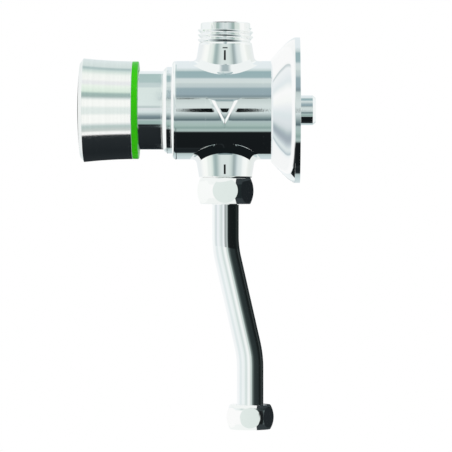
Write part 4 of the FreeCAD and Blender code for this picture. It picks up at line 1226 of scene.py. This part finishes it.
def card(name, rows, looks_to, reach_mm, paint, from_mm=0.0):
    """A sheet through rows of points, turned so that its front looks to a point in mm."""
    count = len(rows[0])
    corners = [Vector(rows[j][k]) for j, k in ((0, 0), (0, 1), (1, 0))]
    normal = (corners[1] - corners[0]).cross(corners[2] - corners[0])
    if normal.dot(Vector(looks_to) - corners[0]) < 0:
        rows = rows[::-1]
    faces = [(i * count + k, i * count + k + 1, (i + 1) * count + k + 1, (i + 1) * count + k)
             for i in range(len(rows) - 1) for k in range(count - 1)]
    mesh = bpy.data.meshes.new(name)
    mesh.from_pydata([tuple(v * MM for v in p) for row in rows for p in row], [], faces)
    mesh.materials.append(card_material(name, reach_mm, paint, from_mm))
    obj = bpy.data.objects.new(name, mesh)
    bpy.context.scene.collection.objects.link(obj)
    obj.visible_camera = obj.visible_diffuse = False
    obj.visible_shadow = obj.visible_transmission = False
    cards.append(obj)


def round_the_axis(mm, y, z):
    """Degrees about the level axis, 0 towards the camera and 90 straight up."""
    return mm.turn(z, mm.times(y, -1.0))


def level_ring(x, r, count):
    return [(x, r * math.cos(t), r * math.sin(t)) for t in np.linspace(0, 2 * math.pi, count)]


# %% The knob's paper collar
knob_card_r, knob_mean_r = 45.0, 18.75
knob_card_ends = (-86.0, -61.9)
camera_below = 2.4      # degrees by which the camera stands below the level axis


def on_card(lift_angle):
    """Where on the collar the knob sees what lies at a lift angle."""
    half = math.radians((lift_angle + camera_below) / 2)
    return lift_angle - math.degrees(math.asin(knob_mean_r / knob_card_r * math.sin(half)))


knob_tones = [
    (-180, "2c3234"), (-152, "262b2e"), (-113, "1f2427"), (-73.5, "24292c"), (-61, "292e31"),
    (-59.6, "fafafa"), (-53, "f8f9f6"), (-50, "c6cdca"), (-39, "b2c5c2"), (-35, "d5dedd"),
    (-30, "f7f9f6"), (-13.5, "f6f8f5"), (-9.5, "dfe8e5"), (3, "e0e9e6"), (8, "f6f8f5"),
    (21, "f6f8f5"), (25.5, "ccd7d5"), (29, "9cb1ad"), (36.5, "9bb4af"), (40.5, "d8e9dc"),
    (55.5, "e9f2e9"), (60.5, "e6e8ea"), (67, "e7e9ea"), (71, "f3f5f2"), (86, "f0f4f0"),
    (97, "d2e0da"), (102.5, "c4d4d2"), (106.5, "a9bebd"), (111.5, "abbfbf"), (115.5, "d2dedc"),
    (180, "e2eaec"),
]
collar_stops = [(on_card(at), tone) for at, tone in knob_tones]


def collar_paint(mm, x, y, z):
    return tone_ramp(mm.tree, round_the_axis(mm, y, z), collar_stops)


around = [math.radians(-158 + 316 * k / 96) for k in range(97)]
collar_rows = [[(x, -knob_card_r * math.cos(t), knob_card_r * math.sin(t)) for t in around]
               for x in knob_card_ends]
card("knob_collar", collar_rows, (-75, 0, 0), 42.5, collar_paint)
# behind the knob's rounded face a dark strip draws its left edge
card("crown_card", [[(-110, 26, -17), (-110, 26, 17)], [(-84.2, 26, -17), (-84.2, 26, 17)]],
     (-100, 0, 0), 60, "15191b")
# narrow white rings of card keep the green ring out of the head's bevel and the body's edge
for ring_name, ring_x, inner_r, outer_r, reach in (("bevel_card", -52.0, 14.9, 18.6, 3.2),
                                                   ("shoulder_card", -48.55, 16.45, 21.0, 2.4)):
    card(ring_name, [level_ring(ring_x, r, 65) for r in (inner_r, outer_r)],
         (ring_x + 1, inner_r, 0), reach, "f7f9f9")


# %% The rosette's disc
# the dish looks along the barrel, at a white disc with a soft grey shade low on the left
disc_stops = [
    (-180, "f2f4f4"), (-68, "f5f6f6"), (-62, "edf2f3"), (-59.5, "b4c2c8"), (-57.5, "c8d3d7"),
    (-52, "e1e9e9"), (-48, "d0dadd"), (-44, "bbc6cc"), (-40, "a9b3bb"), (-36, "a0acb4"),
    (-32, "a5b2b9"), (-28, "b9c6c8"), (-24, "d2dadd"), (-18, "dce2e5"), (-8, "dde6e8"),
    (0, "eaeef0"), (8, "f6f8f6"), (20, "fcfcfb"), (24, "f4f6f5"), (32, "e1e9eb"),
    (40, "e8edef"), (52.5, "f0f3f4"), (54.5, "bcc8ca"), (56.5, "c4cfd1"), (58.5, "f6f7f6"),
    (64, "fcfdfc"), (180, "f6f8f8"),
]
disc_edge_stops = [
    (-180, "f4f7f8"), (-82, "e8eef0"), (-77, "44494c"), (-70, "2a2e30"), (-48, "343838"),
    (-42, "a0a3a4"), (-38, "e4e8e7"), (-22, "e2e8e6"), (-10, "c2cecb"), (0, "b9c7c7"),
    (6, "c8d4d0"), (16, "e2e8e6"), (26, "f2f4f3"), (180, "fafbfb"),
]


shade_lift, shade_middle_r = 57.0, 27.0     # the shade's half angle, widest at this radius
pull_in, pull_out = 0.40, 0.13              # how fast it closes towards the hub and the rim
least_lift = 12.0                           # it never closes further than this


def disc_paint(mm, x, y, z):
    """An oval shade by angle, white further out and the rim's surroundings outermost."""
    true_angle = round_the_axis(mm, y, z)
    radius = mm.times(mm.do("SQRT", mm.do("ADD", mm.times(y, y), mm.times(z, z))), 1 / MM)
    inside = mm.do("MAXIMUM", mm.minus(shade_middle_r, radius), 0.0)
    outside = mm.do("MAXIMUM", mm.minus(radius, shade_middle_r), 0.0)
    pulled = mm.minus(shade_lift, mm.times(pull_in, mm.times(inside, inside)))
    pulled = mm.minus(pulled, mm.times(pull_out, mm.times(outside, outside)))
    angle = mm.do("DIVIDE", mm.times(true_angle, shade_lift), mm.do("MAXIMUM", pulled, least_lift))
    shade = tone_ramp(mm.tree, angle, disc_stops, 720, -360)
    edge = tone_ramp(mm.tree, true_angle, disc_edge_stops)
    tone = mm.mix(mm.step(radius, 20.4, 19.2), shade, "e8eef0")
    tone = mm.mix(mm.step(radius, 30.4, 33.0), tone, "fbfbfb")
    return mm.mix(mm.step(radius, 36.0, 38.5), tone, edge)


card("rosette_disc", [level_ring(-14.0, r, 97) for r in (body_r + 0.15, 75.0)],
     (-5, body_r + 5, 0), 75, disc_paint)


# %% Painted collars round the necks, the nuts and the tube
def flow_axis(z):
    """Where the flow's axis stands at a height: straight, a slanted stretch and straight."""
    share = min(max((knee_high - z) / (knee_high - knee_low), 0), 1)
    return neck_x + (tube_low_x - neck_x) * share


def round_the_flow(mm, x, y, z):
    """Degrees about the flow's axis, 0 towards the camera and 90 towards the wall."""
    drop = mm.do("DIVIDE", mm.minus(knee_high * MM, z), (knee_high - knee_low) * MM)
    share = mm.do("MINIMUM", mm.do("MAXIMUM", drop, 0.0), 1.0)
    axis = mm.do("ADD", mm.times(share, (tube_low_x - neck_x) * MM), neck_x * MM)
    return mm.turn(mm.minus(x, axis), mm.times(y, -1.0))


def on_collar(share, piece_r, card_r):
    """Where on a collar a round piece sees what it shows at a share of its half width."""
    return 2 * math.degrees(math.asin(share)) - math.degrees(math.asin(piece_r / card_r * share))


def flow_arc(z, r, degrees, count):
    """Points about the flow's axis at a height."""
    return [(flow_axis(z) + r * math.sin(t), -r * math.cos(t), z)
            for t in np.radians(np.linspace(*degrees, count))]


def flow_collar(name, heights, radii, reach_mm, stops, marks=()):
    """A collar round the flow. Marks are (degrees from, to, z from, to, tone)."""
    top, bottom = heights
    rows = []
    for z in [top] + [z for z in (knee_high, knee_low) if bottom < z < top] + [bottom]:
        r = radii[0] + (radii[1] - radii[0]) * (top - z) / (top - bottom)
        rows.append(flow_arc(z, r, collar_span, 85))

    def paint(mm, x, y, z):
        turn_angle = round_the_flow(mm, x, y, z)
        tone = tone_ramp(mm.tree, turn_angle, stops)
        for turn_from, turn_to, z_from, z_to, mark_tone in marks:
            inside = mm.times(mm.within(turn_angle, turn_from, turn_to, mark_blur),
                              mm.within(z, z_from * MM, z_to * MM, mark_blur_m))
            tone = mm.mix(inside, tone, mark_tone)
        return tone

    card(name, rows, (flow_axis(top), 0, top - 1), reach_mm, paint)


def flow_ring(name, heights, radii, degrees, looks_up, reach_mm, paint):
    """A ring or sector of card about the flow's axis, flat or a shallow cone."""
    rows = [flow_arc(z, r, degrees, 61) for z, r in zip(heights, radii)]
    looks_to = heights[0] + (3 if looks_up else -3)
    card(name, rows, (flow_axis(looks_to), -radii[0], looks_to), reach_mm, paint)


mark_blur, mark_blur_m = 0.4, 0.00008       # the marks' soft edges, in degrees and in metres
collar_span = (-168, 168)                   # degrees, with a gap at the back
collar_reach, nut_reach, lid_reach = 8.6, 11.5, 9      # from how far each is seen, in mm

# the necks: tones by the share of the neck's half width, -1 at its left edge
neck_card_r, neck_mean_r = 13.6, 10.5
neck_tones = [
    (-1, "e8edf0"), (-0.85, "eaeeef"), (-0.72, "f8f9f7"), (-0.62, "f6f9f6"), (-0.56, "e6ece9"),
    (-0.50, "e6ede9"), (-0.42, "d6e1dc"), (-0.38, "b4c5c3"), (-0.335, "9db1b1"), (-0.29, "9eb1b0"),
    (-0.24, "b3c3c2"), (-0.19, "c9d5d3"), (-0.12, "d6e0de"), (0.10, "d6e0de"), (0.17, "cdd9d6"),
    (0.23, "b9c7c6"), (0.275, "9aa9a9"), (0.33, "a6b5b8"), (0.38, "c8d4d6"), (0.43, "d8e2e2"),
    (0.52, "dfe7e7"), (0.58, "f2f6f5"), (0.70, "f8faf8"), (0.77, "eaeeeb"), (0.85, "e6ebe9"),
    (1.0, "e9ecee"),
]
neck_stops = [(on_collar(share, neck_mean_r, neck_card_r), tone) for share, tone in neck_tones]
flow_collar("upper_neck_collar", (25.6, 17.9), (neck_card_r, neck_card_r), collar_reach, neck_stops,
            [(-3.2, 1.4, 19.4, 23.4, "0c0f10"), (-7.0, 6.2, 24.1, 24.6, "4c5555")])
flow_collar("lower_neck_collar", (-17.9, -25.3), (neck_card_r, 11.3), collar_reach, neck_stops,
            [(-3.4, 1.2, -24.7, -21.3, "0c0f10")])
# a strip of card lies in the front of each neck's root and follows the barrel's curve
root_card_r, root_card_lift = 11.5, 0.15    # its inner radius and its gap to the fillet
upper_root_stops = [(-180, "f0f4f4"), (-12, "f0f4f4"), (-5, "a6b6b9"), (5, "a6b6b9"),
                    (12, "f0f4f4"), (180, "f0f4f4")]
lower_root_stops = [(-180, "14191b"), (180, "14191b")]


def root_strip(name, flip, width, stops):
    rows = [[], []]
    for t in np.radians(np.linspace(-64, 64, 65)):
        forwards = root_card_r * math.cos(t)
        between_normals = math.acos(forwards / body_r * math.cos(t))
        height = math.sqrt(body_r ** 2 - forwards ** 2) + neck_fillet / math.sin(between_normals)
        for row, r in zip(rows, (root_card_r, root_card_r + width)):
            row.append((neck_x + r * math.sin(t), -r * math.cos(t), (height + root_card_lift) * flip))
    card(name, rows, (neck_x, -12.5, 0), 6,
         lambda mm, x, y, z: tone_ramp(mm.tree, round_the_flow(mm, x, y, z), stops))


root_strip("upper_root_strip", 1, 2.0, upper_root_stops)
root_strip("lower_root_strip", -1, 1.95, lower_root_stops)
# the tube: its upper half and its lower half
tube_card_r = 9.6
upper_tube_tones = [
    (-1, "f6f8f8"), (-0.86, "f3f7f8"), (-0.80, "e6ebea"), (-0.75, "d4dee0"), (-0.66, "d6dee0"),
    (-0.61, "ecf0f3"), (-0.50, "ebeff1"), (-0.40, "dbe4e3"), (-0.28, "ccd6d5"), (-0.22, "dde5e6"),
    (-0.16, "eaeff0"), (-0.09, "f0f4f5"), (-0.065, "a2aaaa"), (-0.02, "a0a8a8"), (0.05, "98a1a0"),
    (0.10, "b6c0bf"), (0.14, "b6c0bf"), (0.17, "333d3d"), (0.22, "232c2b"), (0.32, "181c1d"),
    (0.70, "141a1a"), (0.78, "1b2121"), (0.83, "282e2e"), (1.0, "242a2a"),
]
lower_tube_tones = [
    (-1, "f7f8f9"), (-0.82, "f1f4f5"), (-0.74, "e0e9ea"), (-0.66, "e2eaea"), (-0.55, "f0f4f5"),
    (-0.40, "e6edec"), (-0.31, "cedbd8"), (-0.22, "dfe6e5"), (-0.16, "eff4f3"), (-0.08, "f5f7f6"),
    (-0.02, "e8ecea"), (0.03, "ccd6d2"), (0.10, "d0dedb"), (0.14, "909c9a"), (0.18, "77847f"),
    (0.24, "54605f"), (0.31, "333d3d"), (0.42, "2a3333"), (0.60, "272f30"), (0.68, "1b2121"),
    (0.78, "141a1a"), (0.83, "3a4040"), (0.90, "23292a"), (1.0, "23292a"),
]
for half_name, heights, tones in (("upper", (-35.6, -51.7), upper_tube_tones),
                                  ("lower", (-51.7, -112), lower_tube_tones)):
    flow_collar(half_name + "_tube_collar", heights, (tube_card_r, tube_card_r), collar_reach,
                [(on_collar(share, tube_r, tube_card_r), tone) for share, tone in tones])
# the nuts: pale in front, white to the left and black to the right, with lids above and below
upper_nut_stops = [
    (-180, "f7f9f8"), (-60, "f8faf9"), (-28.5, "fbfcfb"), (-27, "e0e9e6"), (27, "dfe8e5"),
    (28.5, "20292a"), (48, "20282a"), (54, "2b3234"), (57, "4a5053"), (59.5, "4a5053"),
    (62, "1e2326"), (160, "1c2124"), (175, "f2f4f4"),
]
lower_nut_stops = [
    (-180, "fafbfa"), (-60, "fafbfa"), (-22, "fbfcfb"), (-20.5, "e0e9e6"), (20.5, "dce5e2"),
    (22, "161a1b"), (44, "1a1e1f"), (50, "566061"), (54, "6a7676"), (58, "30383a"),
    (62, "22272a"), (160, "22272a"), (175, "f2f4f4"),
]
for nut_name, top_in, top_out, bottom, radius, front_to, stops in (
        ("upper_nut", (-25.15, 10.2), -26.3, -35.7, 14.5, 28, upper_nut_stops),
        ("lower_nut", (-110.8, 5.4), -110.8, -120.7, 12.5, 21, lower_nut_stops)):
    flow_collar(nut_name + "_collar", (top_out, bottom), (radius, radius), nut_reach, stops)
    for lid_name, heights, inner_r, looks_up in (("top", (top_in[0], top_out), top_in[1], False),
                                                 ("bottom", (bottom, bottom), 5.4, True)):
        for shade_name, degrees, tone in (("dark", (front_to, 165), "343b3e"),
                                          ("pale", (-165, front_to), "f2f5f4")):
            flow_ring("_".join((nut_name, shade_name, lid_name)), heights, (inner_r, radius),
                      degrees, looks_up, lid_reach, tone)
# under the inlet's thread a ring with a dark middle draws the thread's lower flanks
thread_stops = [
    (-180, "e2e9ea"), (-44, "e2e9ea"), (-30, "a9b4b5"), (-16, "5a6466"), (0, "343b3d"),
    (16, "5a6466"), (30, "a9b4b5"), (44, "e2e9ea"), (180, "e2e9ea"),
]


def thread_shade(mm, x, y, z):
    return tone_ramp(mm.tree, round_the_flow(mm, x, y, z), thread_stops)


flow_ring("thread_flank_card", (24.7, 24.7), (10.1, 24.0), (-46, 46), True, 10, thread_shade)
# cards on edge at both sides of the flow mark whiten its flanks; they lie along the light
# that the barrel sends past them, so the barrel itself doesn't show them
for side_name, side_x in (("left", neck_x - 7.2), ("right", neck_x + 7.2)):
    lean = 11 * (side_x - camera_x) / distance
    card("mark_card_" + side_name, [[(side_x, -19.0, z), (side_x + lean, -30.0, z)] for z in (-9, 5)],
         (neck_x, -22, 0), 13, "fdfefe")
# a dark slip above the mark draws its top edge, and another the inlet's top edge
card("mark_top_card", [[(neck_x - 3.7, y, 12.0), (neck_x + 3.0, y, 12.0)] for y in (-21.6, -18.7)],
     (neck_x, -20, 3), 10.6, "4c5a5c", from_mm=8.0)
card("lid_card", [[(neck_x - 6.5, y, 37.1), (neck_x + 6.5, y, 37.1)] for y in (-14, -5)],
     (neck_x, -9, 30), 6.5, "2a3032")
# a pale card between the green ring and the inlet's thread
card("thread_card", [[(-43.0, -14, z), (-43.0, 12, z)] for z in (23, 36)],
     (neck_x, 0, 26), 9.5, "f0f4f5")
# a black card under the barrel keeps the nut and the tube out of its dark band
card("under_card", [[(x, -14, -38), (x, 8, -38)] for x in (-22.5, -8)], (-15, 0, 0), 40, "15191b")
print("cards:", len(cards))

# %% The floor
floor_height, floor_reach = -150.0, 1500
floor_material, floor_tree, floor_shader = material_with("pale_floor")
corners = [(x * floor_reach, y * floor_reach, floor_height)
           for x, y in ((-1, -1), (1, -1), (1, 1), (-1, 1))]
floor = new_piece("floor", corners, [(0, 1, 2, 3)], floor_material)
floor_shader.inputs["Roughness"].default_value = 0.7
floor_spots = noise(floor_tree, object_pattern(floor_tree, (1, 1, 1)), 30, 2)
floor_tree.links.new(two_colours(floor_tree, floor_spots, (0.80, 0.81, 0.81), (0.82, 0.83, 0.83)),
                     floor_shader.inputs["Base Color"])
floor_white = add_node(floor_tree, "ShaderNodeEmission", {"Color": (1, 1, 1, 1)})
floor_mix = add_node(floor_tree, "ShaderNodeMixShader", {
    0: add_node(floor_tree, "ShaderNodeLightPath").outputs["Is Camera Ray"],
    1: floor_shader.outputs["BSDF"], 2: floor_white.outputs["Emission"]})
floor_tree.links.new(floor_mix.outputs["Shader"],
                     floor_tree.nodes["Material Output"].inputs["Surface"])
floor.visible_glossy = False

# %% One soft lamp for the shaping of plastic and rubber
lamp_data = bpy.data.lights.new("soft_box", "AREA")
lamp_data.shape = "RECTANGLE"
lamp_data.size, lamp_data.size_y = 0.6, 0.4
lamp_data.energy = 2.2
lamp = bpy.data.objects.new("soft_box", lamp_data)
lamp.location = (-0.35, -0.45, 0.75)
lamp.rotation_euler = (Vector((-0.03, 0, -0.03)) - lamp.location).to_track_quat("-Z", "Y").to_euler()
lamp.visible_glossy = False
bpy.context.scene.collection.objects.link(lamp)

# %% [markdown]
# ## Camera
# The photograph was taken with a long lens from a point a little nearer to the wall than
# the picture's middle: the ring's edges bow to the left and the rosette's rim hardly bows at
# all. The camera therefore stands there, looks straight at the valve and has its frame
# shifted sideways. The frame spans 170.7 mm at the valve's axis, 0.3776 mm for each pixel.

# %% Placing the camera
picture_pixels, pixel_mm, sensor_mm = 452, 0.3776, 36.0
frame_mm = picture_pixels * pixel_mm
frame_middle = (-27.9, -43.7)
camera_data = bpy.data.cameras.new("camera")
camera_data.sensor_width = sensor_mm
camera_data.lens = sensor_mm * distance / frame_mm
camera_data.shift_x = (frame_middle[0] - camera_x) / frame_mm
camera_data.clip_end = 20
camera = bpy.data.objects.new("camera", camera_data)
camera.location = Vector((camera_x, -distance, frame_middle[1])) * MM
camera.rotation_euler = (math.pi / 2, 0, 0)
bpy.context.scene.collection.objects.link(camera)
bpy.context.scene.camera = camera
bpy.context.scene.view_settings.view_transform = "Standard"
print("lens", round(camera_data.lens, 1), "mm, shift", round(camera_data.shift_x, 3))
